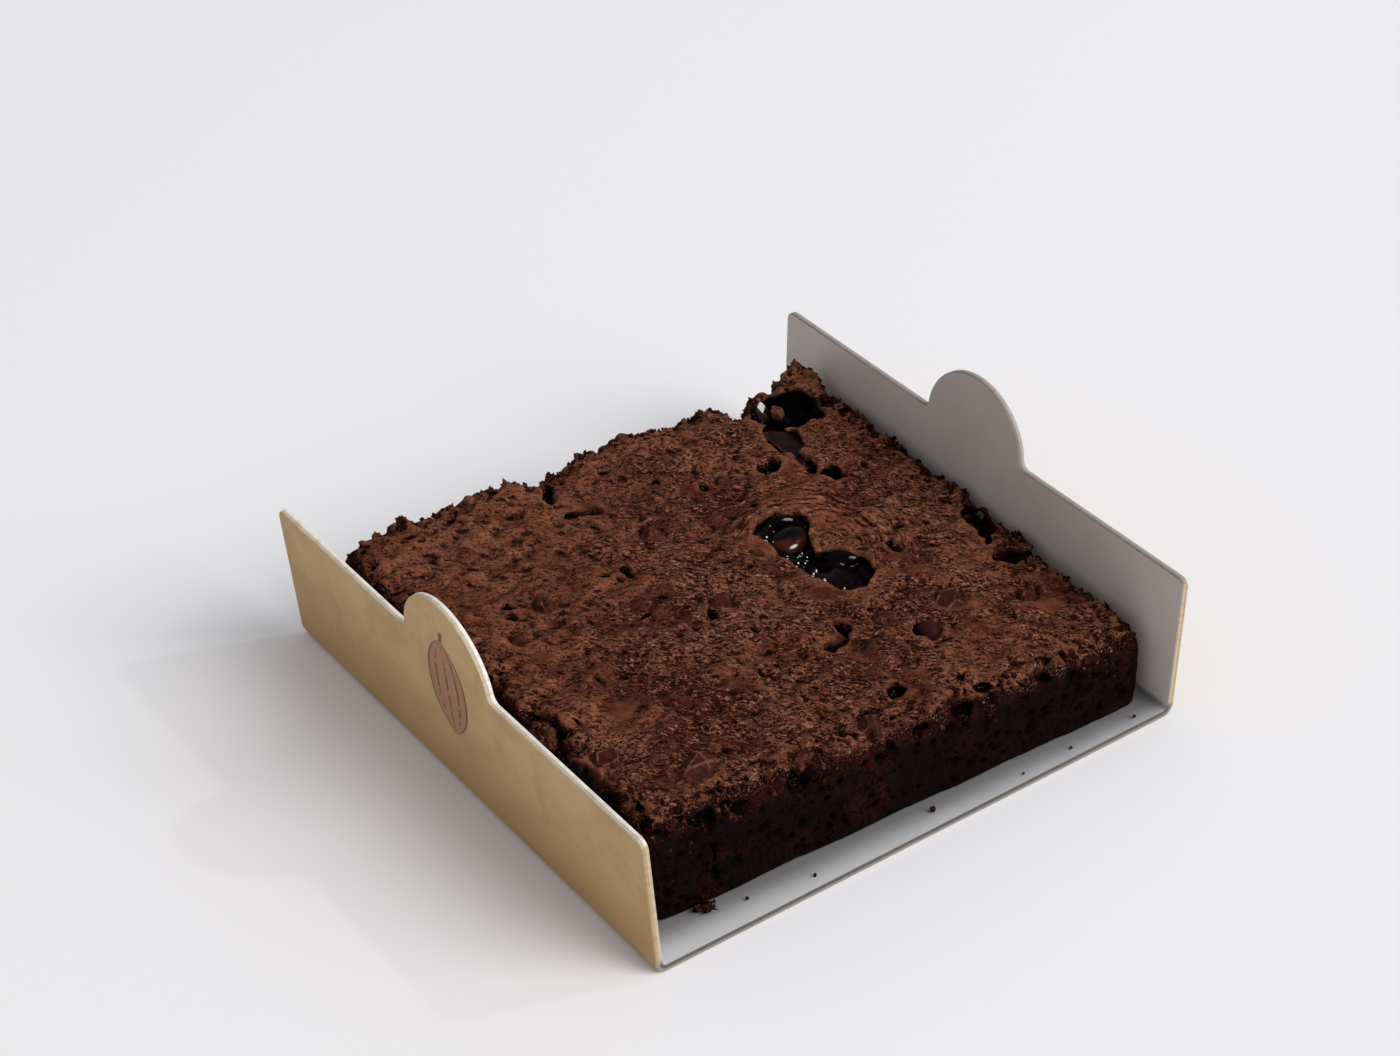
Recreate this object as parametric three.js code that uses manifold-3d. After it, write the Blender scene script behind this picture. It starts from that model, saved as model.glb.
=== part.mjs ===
// Chocolate brownie in its folded card tray, in millimetres, +Z up.
// The origin is the middle of the tray's underside. -Y is the open front with the brownie's cut
// face, and +X is the upright wall. The slab is one solid whose pits, crevices and crags are
// relief; every lump of chocolate that shows is a solid of its own in a fitted pocket.

import * as THREE from 'three';
import { mergeVertices } from 'three/addons/utils/BufferGeometryUtils.js';
import Module from 'manifold-3d';

const wasm = await Module();
wasm.setup();

// Card tray: one folded strip with a round thumb tab on each wall
const TRAY_WIDTH = 100;
const TRAY_DEPTH = 98;
const CARD = 1.2;
const WALL_HEIGHT = 26.1;
const LEFT_SPLAY = 6;
const FOLD_RADIUS = 2;
const TAB_RADIUS = 11.25;
const TAB_FILLET = 1.5;
const WALL_CORNER = 1.5;
const FOLD_STEPS = 4;
const CORNER_STEPS = 3;
const TAB_STEPS = 20;

// Slab: outline at the cut faces, and the height of the crust just inside each corner
const CLEARANCE = 0.3;
const FOOT = CARD + CLEARANCE;
const FRONT_LEFT_Y = -41.6;
const FRONT_RIGHT_Y = -45;
const BACK_Y = 41.5;
const LEFT_X = -46.4;
const RIGHT_X = 47.4;
const HEIGHT_FRONT_LEFT = 19.8;
const HEIGHT_FRONT_RIGHT = 14.6;
const HEIGHT_BACK_LEFT = 20.3;
const HEIGHT_BACK_RIGHT = 18.8;
const CROWN = 0.8;
const SHOULDER = 3;
const CORNER_PULL = 2.2;
const COLUMNS = 40;
const ROWS = 36;
const WALL_ROWS = 6;
const CRUMB_JITTER = 0.28;
const EDGE_CROWDING = 0.35;

// Swells and dips of the crust: place, reach and height
const SWELLS = [
  { x: -19, y: 39, reach: 6, rise: 1.3 },
  { x: 9, y: 37, reach: 9, rise: 1.6 },
  { x: -38, y: 39, reach: 6, rise: 0.8 },
  { x: 45, y: 41, reach: 4.5, rise: 2.6 },
  { x: 40, y: 18, reach: 7, rise: 1 },
  { x: 7, y: -40, reach: 4, rise: 0.8 },
  { x: -11, y: 40.5, reach: 2.6, rise: -2 },
  { x: 30.5, y: 38.5, reach: 3, rise: -2.2 },
  { x: -3, y: -40, reach: 5, rise: -0.6 },
  { x: -25, y: -11, reach: 5, rise: -0.7 },
  { x: -33, y: -17, reach: 4, rise: -0.6 },
];

// Hollows torn in the crust: place, half sizes and turn about Z, sunk below the crust by drop
const HOLLOWS = [
  { x: -9.5, y: 27, size: [2.2, 1.8, 3.4], turn: 30, drop: 1.6 },
  { x: -10.2, y: 35.5, size: [1.2, 5, 2.6], turn: -8, drop: 0.4 },
  { x: -19, y: 32.5, size: [2.4, 1.2, 1.8], turn: 10, drop: 0.2 },
  { x: -35, y: 35.5, size: [1.7, 0.8, 1.5], turn: 30, drop: 0.2 },
  { x: -35, y: 10.5, size: [1.5, 1.5, 3], turn: 0, drop: 1 },
  { x: -17, y: 11.2, size: [1.3, 1.1, 1.6], turn: 0, drop: 0.2 },
  { x: -13, y: 10.8, size: [0.8, 1.7, 1.8], turn: 0, drop: 0.3 },
  { x: -8, y: -5.4, size: [1.6, 0.9, 1.8], turn: 45, drop: 0.3 },
  { x: 24, y: 21.5, size: [1.9, 1.6, 2.4], turn: 20, drop: 0.6 },
  { x: 11, y: 22.5, size: [1.3, 1.1, 1.8], turn: 0, drop: 0.3 },
  { x: 44, y: 32, size: [1.5, 1.5, 2], turn: 0, drop: 0.8 },
  { x: 42, y: -9, size: [2.3, 4.2, 3.6], turn: -12, drop: 1.4 },
  { x: 37.5, y: -21, size: [2.6, 2.2, 3.2], turn: 15, drop: 1.2 },
  { x: 26.5, y: -6.5, size: [1.1, 1.6, 1.8], turn: 0, drop: 0.3 },
  { x: 3.5, y: -21.6, size: [2, 0.9, 1.9], turn: 12, drop: 0.4 },
  { x: 6.8, y: -19, size: [0.9, 1.8, 1.8], turn: -10, drop: 0.4 },
  { x: 4.2, y: -35, size: [1.5, 1.4, 2.4], turn: 0, drop: 0.6 },
  { x: 31.3, y: -31.6, size: [0.7, 1.9, 1.5], turn: 15, drop: 0.2 },
  { x: 10.5, y: -42.2, size: [2, 1.3, 2.2], turn: 20, drop: 1.4 },
  { x: -46.2, y: -13.5, size: [2.6, 3.8, 4], turn: 0, drop: 2.6 },
  { x: -47, y: -25, size: [2, 4.4, 4.5], turn: 0, drop: 3 },
  { x: -46.5, y: -32, size: [1.7, 2, 3], turn: 0, drop: 2 },
  { x: -47, y: -3, size: [1.8, 4, 3.6], turn: -8, drop: 2.4 },
];

// Torn pits in the cut front, under the crust: along X, up Z, half sizes
const FRONT_PITS = [
  { x: -36.5, z: 16.4, size: [2.1, 2.2, 1.7] },
  { x: -30, z: 16, size: [2.4, 2.6, 1.3] },
  { x: -19.5, z: 16, size: [1.5, 1.8, 1.4] },
  { x: -13, z: 15.8, size: [1.4, 2.4, 2] },
  { x: -4, z: 14.4, size: [2, 1.8, 1.7] },
  { x: 1.8, z: 15, size: [1.2, 1.6, 1.2] },
  { x: 16, z: 14.2, size: [1.9, 1.6, 1] },
  { x: 33, z: 12.4, size: [2.4, 1.6, 0.9] },
  { x: -34.6, z: 8, size: [0.6, 1, 2.6] },
];

// Lumps of chopped chocolate: place, half sizes, turn about Z and how far each stands proud
const CHUNKS = [
  { name: 'chocolate_chunk_1', x: -32, y: -33.5, size: [4.2, 3, 2.6], turn: 15, proud: 0.9 },
  { name: 'chocolate_chunk_2', x: -41, y: -24.6, size: [2.6, 2.8, 2.2], turn: -20, proud: 0.7 },
  { name: 'chocolate_chunk_3', x: -28.4, y: 11, size: [2.2, 2.8, 2.2], turn: -25, proud: 0.7 },
  { name: 'chocolate_chunk_4', x: -36.4, y: 5.4, size: [1.7, 2.4, 1.8], turn: -30, proud: 0.6 },
  { name: 'chocolate_chunk_5', x: -3.9, y: -38.6, size: [2.6, 2, 2], turn: 35, proud: 0.7 },
  { name: 'chocolate_chunk_6', x: 26.4, y: -21.6, size: [3.4, 2.6, 2.2], turn: 20, proud: 0.7 },
  { name: 'chocolate_chunk_7', x: 14, y: -20.6, size: [2.6, 2.3, 2], turn: -15, proud: 0.6 },
  { name: 'chocolate_chunk_8', x: 37.7, y: -27, size: [2.2, 1.7, 1.9], turn: 30, proud: 0.8 },
  { name: 'chocolate_chunk_9', x: 7.5, y: -24.8, size: [1.9, 1.4, 1.6], turn: 10, proud: 0.7 },
  { name: 'chocolate_chunk_10', x: -5, y: -3.6, size: [2.4, 1.7, 1.8], turn: 30, proud: 0.7 },
  { name: 'chocolate_chunk_11', x: 15, y: 22.6, size: [2.1, 1.4, 1.6], turn: 0, proud: 0.5 },
  { name: 'chocolate_chunk_12', x: -3.4, y: 17, size: [2.4, 1.9, 1.8], turn: 15, proud: 0.5 },
  { name: 'chocolate_chunk_13', x: -17.6, y: -39.6, size: [2.2, 1.5, 1.8], turn: 25, proud: 0.5 },
];
const DROP = { name: 'chocolate_drop', x: 16.6, y: -27.6, radius: 2.3, height: 1.9, proud: 0.8 };

// Molten middle: two joined lobes of a torn hole, part filled
const LOBES = [
  { x: 14.4, y: 4.8, size: [4.8, 4.4, 6.5], turn: 12 },
  { x: 14.8, y: -7.6, size: [5.6, 6.4, 6.5], turn: -18 },
  { x: 12.3, y: -0.6, size: [3.1, 3, 6], turn: 0 },
];
const POOL_GAP = 0.4;
const POOL_BELOW_CRUST = 2.3;
const POOL_DOME = { x: 17, y: -4.6, size: [3, 2.9, 2.6] };
const POOL_LUMP = { name: 'molten_lump', x: 13.4, y: 2.7, size: [3.1, 2, 2], turn: 8 };

// Torn back corner: a cave, its mouth through the back, a crevice running forward, and shards
const CAVE = [
  { x: 35, y: 31, z: 15.5, size: [6.2, 5.4, 6.5] },
  { x: 36, y: 38.5, z: 13.2, size: [3.4, 6, 2.9] },
  { x: 31, y: 25, z: 17, size: [2, 4, 5] },
  { x: 29.6, y: 19.5, z: 18, size: [1.2, 3.6, 3.4] },
  { x: 30.4, y: 14.4, z: 17.6, size: [1.6, 2.6, 3] },
];
const SHARDS = [
  { name: 'corner_shard_1', x: 30.2, y: 30, z: 15, size: [1.2, 5, 3.4], turn: -10, lean: -24 },
  { name: 'corner_shard_2', x: 35.6, y: 29, z: 11.6, size: [3.2, 2.6, 1.9], turn: 20, lean: 10 },
  { name: 'corner_shard_3', x: 34, y: 34.2, z: 13.6, size: [2.6, 1.1, 3.6], turn: 35, lean: 18 },
];

// Room round a lump in its pocket, a little over the least gap as the facets cut corners
const POCKET_GAP = 0.4;
const MERGE_WITHIN = 1e-4;
const SEED = 71;
const SHARD_SEED = SEED + 50;
const POOL_LUMP_SEED = SEED + 100;

const COCOA_CRUST = new THREE.Color(0.3, 0.18, 0.12);
const DARK_CHOCOLATE = new THREE.Color(0.05, 0.025, 0.02);
const MILK_CHOCOLATE = new THREE.Color(0.24, 0.12, 0.08);
const KRAFT_CARD = new THREE.Color(0.66, 0.55, 0.38);

// Helpers

function seededRandom(seed) {
  let state = seed;
  return () => {
    state = (state + 0x6d2b79f5) | 0;
    let mixed = Math.imul(state ^ (state >>> 15), 1 | state);
    mixed = (mixed + Math.imul(mixed ^ (mixed >>> 7), 61 | mixed)) ^ mixed;
    return ((mixed ^ (mixed >>> 14)) >>> 0) / 4294967296;
  };
}

const mix = THREE.MathUtils.lerp;
const radians = THREE.MathUtils.degToRad;

// The geometry with one vertex where its faces meet
function mergedGeometry(geometry) {
  const bare = geometry.clone();
  bare.deleteAttribute('normal');
  bare.deleteAttribute('uv');
  return mergeVertices(bare, MERGE_WITHIN);
}

function solidFrom(geometry) {
  const merged = mergedGeometry(geometry);
  return new wasm.Manifold(new wasm.Mesh({
    numProp: 3,
    vertProperties: Float32Array.from(merged.attributes.position.array),
    triVerts: Uint32Array.from(merged.index.array),
  }));
}

function largestBody(solid) {
  const bodies = solid.decompose();
  return bodies.reduce((best, body) => (body.volume() > best.volume() ? body : best));
}

function meshFrom(name, solid, colour, roughness) {
  const data = largestBody(solid).getMesh();
  const geometry = new THREE.BufferGeometry();
  geometry.setAttribute('position', new THREE.BufferAttribute(data.vertProperties, 3));
  geometry.setIndex(new THREE.BufferAttribute(data.triVerts, 1));
  geometry.computeVertexNormals();
  const finish = new THREE.MeshStandardMaterial({ color: colour, roughness, metalness: 0 });
  const mesh = new THREE.Mesh(geometry, finish);
  mesh.name = name;
  return mesh;
}

// A ball stretched to the half sizes, turned about Z and leaned about Y, set at its place
function stretchedBall(place, size, turn, detail, lean = 0) {
  const ball = new THREE.IcosahedronGeometry(1, detail);
  ball.scale(...size);
  ball.rotateY(radians(lean));
  ball.rotateZ(radians(turn));
  ball.translate(...place);
  return solidFrom(ball);
}

// Points along an arc of a circle, in so many steps
function arc(centreX, centreY, radius, from, to, steps) {
  return Array.from({ length: steps + 1 }, (_, i) => {
    const angle = mix(from, to, i / steps);
    return new THREE.Vector2(
      centreX + radius * Math.cos(angle), centreY + radius * Math.sin(angle));
  });
}

// Card tray

// The folded strip seen from the front: splayed left wall, base, upright right wall
function foldedStrip() {
  const tall = WALL_HEIGHT + TAB_RADIUS + FOLD_RADIUS;
  const splay = radians(90 + LEFT_SPLAY);
  const leftFoldX = -TRAY_WIDTH / 2 + FOLD_RADIUS / Math.tan(splay / 2);
  const rightFoldX = TRAY_WIDTH / 2 - FOLD_RADIUS;
  const outward = Math.PI + radians(LEFT_SPLAY);
  const up = new THREE.Vector2(Math.cos(splay), Math.sin(splay)).multiplyScalar(tall);
  const foldCentre = new THREE.Vector2(leftFoldX, FOLD_RADIUS);
  const wallEnd = (radius) => new THREE.Vector2(Math.cos(outward), Math.sin(outward))
    .multiplyScalar(radius).add(foldCentre).add(up);
  const outerTop = wallEnd(FOLD_RADIUS);
  const innerTop = wallEnd(FOLD_RADIUS - CARD);
  const inner = FOLD_RADIUS - CARD;
  const down = 1.5 * Math.PI;
  const profile = new THREE.Shape([
    outerTop,
    ...arc(leftFoldX, FOLD_RADIUS, FOLD_RADIUS, outward, down, FOLD_STEPS),
    ...arc(rightFoldX, FOLD_RADIUS, FOLD_RADIUS, down, 2 * Math.PI, FOLD_STEPS),
    new THREE.Vector2(TRAY_WIDTH / 2, tall),
    new THREE.Vector2(TRAY_WIDTH / 2 - CARD, tall),
    ...arc(rightFoldX, FOLD_RADIUS, inner, 2 * Math.PI, down, FOLD_STEPS),
    ...arc(leftFoldX, FOLD_RADIUS, inner, down, outward, FOLD_STEPS),
    innerTop,
  ]);
  const strip = new THREE.ExtrudeGeometry(profile, {
    depth: TRAY_DEPTH, bevelEnabled: false, steps: 1,
  });
  strip.rotateX(Math.PI / 2);
  strip.translate(0, TRAY_DEPTH / 2, 0);
  return solidFrom(strip);
}

// Both walls seen from the side: rounded ends and the thumb tab in the middle
function wallOutline() {
  const half = TRAY_DEPTH / 2;
  const reach = TAB_RADIUS + TAB_FILLET;
  const rise = Math.asin(TAB_FILLET / reach);
  const footX = Math.cos(rise) * reach;
  const filletY = WALL_HEIGHT + TAB_FILLET;
  const cornerY = WALL_HEIGHT - WALL_CORNER;
  const up = Math.PI / 2;
  const side = new THREE.Shape([
    new THREE.Vector2(-half - 1, -1),
    new THREE.Vector2(half + 1, -1),
    new THREE.Vector2(half + 1, cornerY),
    ...arc(half - WALL_CORNER, cornerY, WALL_CORNER, 0, up, CORNER_STEPS),
    ...arc(footX, filletY, TAB_FILLET, -up, -Math.PI + rise, CORNER_STEPS),
    ...arc(0, WALL_HEIGHT, TAB_RADIUS, rise, Math.PI - rise, TAB_STEPS),
    ...arc(-footX, filletY, TAB_FILLET, -rise, -up, CORNER_STEPS),
    ...arc(WALL_CORNER - half, cornerY, WALL_CORNER, up, Math.PI, CORNER_STEPS),
    new THREE.Vector2(-half - 1, cornerY),
  ]);
  const block = new THREE.ExtrudeGeometry(side, {
    depth: 2 * TRAY_WIDTH, bevelEnabled: false, steps: 1,
  });
  const toSideView = new THREE.Matrix4().makeBasis(
    new THREE.Vector3(0, 1, 0), new THREE.Vector3(0, 0, 1), new THREE.Vector3(1, 0, 0));
  block.applyMatrix4(toSideView);
  block.translate(-TRAY_WIDTH, 0, 0);
  return solidFrom(block);
}

function cardTray() {
  return meshFrom('card_tray', foldedStrip().intersect(wallOutline()), KRAFT_CARD, 0.85);
}

// Slab

const swellHeight = (x, y) => SWELLS.reduce((sum, swell) => {
  const away = Math.hypot(x - swell.x, y - swell.y) / swell.reach;
  return sum + swell.rise * Math.exp(-away * away);
}, 0);

const ripple = (x, y) => 0.42 * Math.sin(0.42 * x + 1.3 * Math.sin(0.31 * y) + 0.5)
  * Math.cos(0.37 * y - 0.6 * Math.sin(0.23 * x))
  + 0.3 * Math.sin(0.93 * x - 0.71 * y + 1.7) * Math.sin(0.64 * x + 0.88 * y);

// Where the cut faces stand, with the ragged line of a hand-cut slab
const leftEdge = (y) => LEFT_X - 1.3 * Math.exp(-(((y - 26) / 16) ** 2)) + 0.3 * Math.sin(0.55 * y);
const rightEdge = (y) => RIGHT_X + 0.25 * Math.sin(0.48 * y + 1) - 0.2 * Math.sin(1.3 * y);
const frontEdge = (s) => mix(FRONT_LEFT_Y, FRONT_RIGHT_Y, s) + 0.35 * Math.sin(26 * s + 0.8);
const backEdge = (x) => BACK_Y + 0.5 * Math.sin(0.33 * x) + 0.35 * Math.sin(0.9 * x + 2)
  - 2 * Math.exp(-(((x + 11.5) / 2) ** 2)) - 1.8 * Math.exp(-(((x - 30.5) / 2.6) ** 2));

// Height of the crust over any place on the slab, before the shoulders drop away
function crustHeight(x, y) {
  const s = (x - LEFT_X) / (RIGHT_X - LEFT_X);
  const t = (y - FRONT_LEFT_Y) / (BACK_Y - FRONT_LEFT_Y);
  const front = mix(HEIGHT_FRONT_LEFT, HEIGHT_FRONT_RIGHT, s);
  const back = mix(HEIGHT_BACK_LEFT, HEIGHT_BACK_RIGHT, s);
  const crown = CROWN * (1 - (2 * s - 1) ** 2) * (1 - (2 * t - 1) ** 2);
  return mix(front, back, t) + crown + swellHeight(x, y) + ripple(x, y);
}

const crowd = (u) => u - (EDGE_CROWDING / (2 * Math.PI)) * Math.sin(2 * Math.PI * u);

// A point of the crust from its fractions across and back
function crustPoint(across, back) {
  const s = crowd(across);
  const t = crowd(back);
  const near = frontEdge(s);
  const far = backEdge(mix(LEFT_X, RIGHT_X, s));
  let y = mix(near, far, t);
  let x = mix(leftEdge(y), rightEdge(y), s);
  const inset = Math.min(x - leftEdge(y), rightEdge(y) - x, y - near, far - y);
  const p = 2 * s - 1;
  const q = 2 * t - 1;
  const pull = CORNER_PULL * Math.abs(p) ** 12 * Math.abs(q) ** 12;
  x -= Math.sign(p) * pull;
  y -= Math.sign(q) * pull;
  const edge = 1 - Math.min(inset / SHOULDER, 1);
  const fall = SHOULDER * (1 - Math.sqrt(Math.max(0, 1 - edge * edge)));
  return new THREE.Vector3(x, y, crustHeight(x, y) - fall);
}

// The slab before it is pitted: the crust as a bent plane, craggy walls and a flat foot
function bareSlab() {
  const crust = new THREE.PlaneGeometry(1, 1, COLUMNS, ROWS);
  const columns = COLUMNS + 1;
  const points = [];
  const spot = new THREE.Vector3();
  const random = seededRandom(SEED);
  for (let i = 0; i < crust.attributes.position.count; i += 1) {
    spot.fromBufferAttribute(crust.attributes.position, i);
    const point = crustPoint(spot.x + 0.5, spot.y + 0.5);
    point.z += CRUMB_JITTER * (2 * random() - 1);
    points.push(point);
  }
  const faces = Array.from(crust.index.array);

  const at = (column, row) => row * columns + column;
  const rim = [];
  for (let column = 0; column < COLUMNS; column += 1) rim.push(at(column, ROWS));
  for (let row = ROWS; row > 0; row -= 1) rim.push(at(COLUMNS, row));
  for (let column = COLUMNS; column > 0; column -= 1) rim.push(at(column, 0));
  for (let row = 0; row < ROWS; row += 1) rim.push(at(0, row));

  let above = rim;
  for (let level = 1; level <= WALL_ROWS; level += 1) {
    const down = level / WALL_ROWS;
    const below = rim.map((corner, i) => {
      const here = points[corner];
      const next = points[rim[(i + 1) % rim.length]];
      const last = points[rim[(i + rim.length - 1) % rim.length]];
      const out = new THREE.Vector2(next.y - last.y, last.x - next.x).normalize();
      const crag = 0.3 * Math.sin(1.9 * i + 2.3 * level) * Math.sin(0.83 * i - 1.1 * level)
        + 0.2 * Math.sin(Math.PI * down);
      const push = level === WALL_ROWS ? 0 : crag;
      points.push(new THREE.Vector3(
        here.x + out.x * push, here.y + out.y * push, mix(here.z, FOOT, down)));
      return points.length - 1;
    });
    for (let i = 0; i < rim.length; i += 1) {
      const j = (i + 1) % rim.length;
      faces.push(above[i], below[i], below[j], above[i], below[j], above[j]);
    }
    above = below;
  }

  const foot = above.map((corner) => new THREE.Vector2(points[corner].x, points[corner].y));
  for (const [a, b, c] of THREE.ShapeUtils.triangulateShape(foot, [])) {
    faces.push(above[a], above[c], above[b]);
  }

  const slab = new THREE.BufferGeometry().setFromPoints(points);
  slab.setIndex(faces);
  return solidFrom(slab);
}

// Chocolate lumps

// A broken lump: a twelve-sided stone, stretched, with its corners moved by the seeded draw
function brokenLump({ x, y, z, size, turn, lean = 0 }, random, spare = 0) {
  const stone = mergedGeometry(new THREE.DodecahedronGeometry(1, 0));
  const corners = stone.attributes.position;
  for (let i = 0; i < corners.count; i += 1) {
    const stretch = 0.88 + 0.24 * random();
    corners.setXYZ(i, corners.getX(i) * stretch, corners.getY(i) * stretch,
      corners.getZ(i) * stretch);
  }
  stone.scale(size[0] + spare, size[1] + spare, size[2] + spare);
  stone.rotateY(radians(lean));
  stone.rotateZ(radians(turn));
  stone.translate(x, y, z);
  return solidFrom(stone);
}

const lumpPlace = (lump) => ({
  ...lump, z: crustHeight(lump.x, lump.y) + lump.proud - lump.size[2],
});

// Each lump's solid and its pocket come from the same draw, so the pocket fits it
function lumpWithPocket(lump, seed) {
  return {
    name: lump.name,
    solid: brokenLump(lump, seededRandom(seed)),
    pocket: brokenLump(lump, seededRandom(seed), POCKET_GAP),
  };
}

function chocolateDrop() {
  const { x, y, radius, height, proud } = DROP;
  const place = [x, y, crustHeight(x, y) + proud - height];
  const size = [radius, radius, height];
  return {
    name: DROP.name,
    solid: stretchedBall(place, size, 0, 1),
    pocket: stretchedBall(place, size.map((half) => half + POCKET_GAP), 0, 1),
  };
}

// Molten middle

const lobeSolid = (lobe, spare) => stretchedBall(
  [lobe.x, lobe.y, crustHeight(lobe.x, lobe.y) - 1],
  lobe.size.map((half) => half - spare), lobe.turn, 2);

function moltenPool(lump) {
  const level = crustHeight(LOBES[1].x, LOBES[1].y) - POOL_BELOW_CRUST;
  const sky = new THREE.BoxGeometry(40, 40, 20);
  sky.translate(LOBES[1].x, LOBES[1].y, level + 10);
  const dome = stretchedBall([POOL_DOME.x, POOL_DOME.y, level - 1], POOL_DOME.size, 0, 1);
  const basin = LOBES.map((lobe) => lobeSolid(lobe, POOL_GAP))
    .reduce((pool, lobe) => pool.add(lobe));
  return basin.subtract(solidFrom(sky)).add(dome.intersect(basin)).subtract(lump.pocket);
}

function poolLump() {
  const z = crustHeight(POOL_LUMP.x, POOL_LUMP.y) - POOL_BELOW_CRUST;
  return lumpWithPocket({ ...POOL_LUMP, z }, POOL_LUMP_SEED);
}

// Assembly

function brownie() {
  const parts = new THREE.Group();
  const lumps = CHUNKS.map((chunk, i) => lumpWithPocket(lumpPlace(chunk), SEED + i));
  const shards = SHARDS.map((shard, i) => lumpWithPocket(shard, SHARD_SEED + i));
  const drop = chocolateDrop();
  const middleLump = poolLump();

  const torn = [
    ...HOLLOWS.map(({ x, y, size, turn, drop: sunk }) => stretchedBall(
      [x, y, crustHeight(x, y) - sunk], size, turn, 1)),
    ...FRONT_PITS.map(({ x, z, size }) => stretchedBall(
      [x, frontEdge((x - LEFT_X) / (RIGHT_X - LEFT_X)) + 0.4, z], size, 0, 1)),
    ...LOBES.map((lobe) => lobeSolid(lobe, 0)),
    ...CAVE.map(({ x, y, z, size }) => stretchedBall([x, y, z], size, 0, 1)),
    ...[...lumps, ...shards, drop, middleLump].map((lump) => lump.pocket),
  ];
  const slab = torn.reduce((body, hole) => body.subtract(hole), bareSlab());

  parts.add(meshFrom('brownie_slab', slab, COCOA_CRUST, 0.9));
  parts.add(meshFrom('molten_chocolate', moltenPool(middleLump), DARK_CHOCOLATE, 0.15));
  parts.add(meshFrom(middleLump.name, middleLump.solid, MILK_CHOCOLATE, 0.2));
  parts.add(meshFrom(drop.name, drop.solid, DARK_CHOCOLATE, 0.4));
  for (const lump of lumps) parts.add(meshFrom(lump.name, lump.solid, MILK_CHOCOLATE, 0.45));
  for (const shard of shards) parts.add(meshFrom(shard.name, shard.solid, DARK_CHOCOLATE, 0.3));
  return parts;
}

const part = new THREE.Group();
part.add(cardTray());
part.add(brownie());

export default part;
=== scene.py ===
"""A chocolate brownie in its folded card tray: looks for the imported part, in metres."""

from math import asin, cos, pi, radians, sin, tan

import bmesh
import bpy
import numpy as np
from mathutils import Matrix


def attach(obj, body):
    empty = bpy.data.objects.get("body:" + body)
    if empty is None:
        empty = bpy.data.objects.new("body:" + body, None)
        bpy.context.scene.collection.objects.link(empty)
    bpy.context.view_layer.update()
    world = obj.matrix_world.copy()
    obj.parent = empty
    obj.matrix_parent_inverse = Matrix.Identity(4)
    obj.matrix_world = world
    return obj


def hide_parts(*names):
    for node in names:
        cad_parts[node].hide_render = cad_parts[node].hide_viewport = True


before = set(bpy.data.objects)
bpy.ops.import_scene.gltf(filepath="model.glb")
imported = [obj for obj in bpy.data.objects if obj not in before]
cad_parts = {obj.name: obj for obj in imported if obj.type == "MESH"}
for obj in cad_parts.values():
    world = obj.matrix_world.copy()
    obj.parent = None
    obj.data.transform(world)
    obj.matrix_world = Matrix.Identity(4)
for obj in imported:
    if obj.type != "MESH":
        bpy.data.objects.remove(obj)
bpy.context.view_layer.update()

import openvdb
from mathutils import Euler, Matrix, Vector
from mathutils.bvhtree import BVHTree

MM = 0.001

# Card tray, in millimetres, as the solids have it
TRAY_WIDTH = 100
TRAY_DEPTH = 98
CARD = 1.2
WALL_HEIGHT = 26.1
LEFT_SPLAY = 6
FOLD_RADIUS = 2
TAB_RADIUS = 11.25
TAB_FILLET = 1.5
WALL_CORNER = 1.5

# Slab, in millimetres, nearly as the solids have it
FOOT = 1.3
FRONT_LEFT_Y = -41.6
FRONT_RIGHT_Y = -45
BACK_Y = 41.5
LEFT_X = -46.4
RIGHT_X = 47.4
HEIGHT_FRONT_LEFT = 19.8
HEIGHT_FRONT_RIGHT = 14.6
HEIGHT_BACK_LEFT = 20.3
HEIGHT_BACK_RIGHT = 18.8
CROWN = 0.8
SHOULDER = 3
CORNER_ROUND = 3.5
VOXEL = 0.38
CAKE_TRIANGLES = 196000

# Swells and dips of the crust: x, y, reach, rise
SWELLS = [
    (-19, 39, 6, 1.3), (9, 37, 9, 1.6), (-38, 39, 6, 0.8), (45, 41, 4.5, 2.6),
    (40, 18, 7, 1), (7, -40, 4, 0.8), (-11, 40.5, 2.6, -2), (30.5, 38.5, 3, -2.2),
    (-3, -40, 5, -0.6), (-25, -11, 5, -0.7), (-33, -17, 4, -0.6),
]

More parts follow.
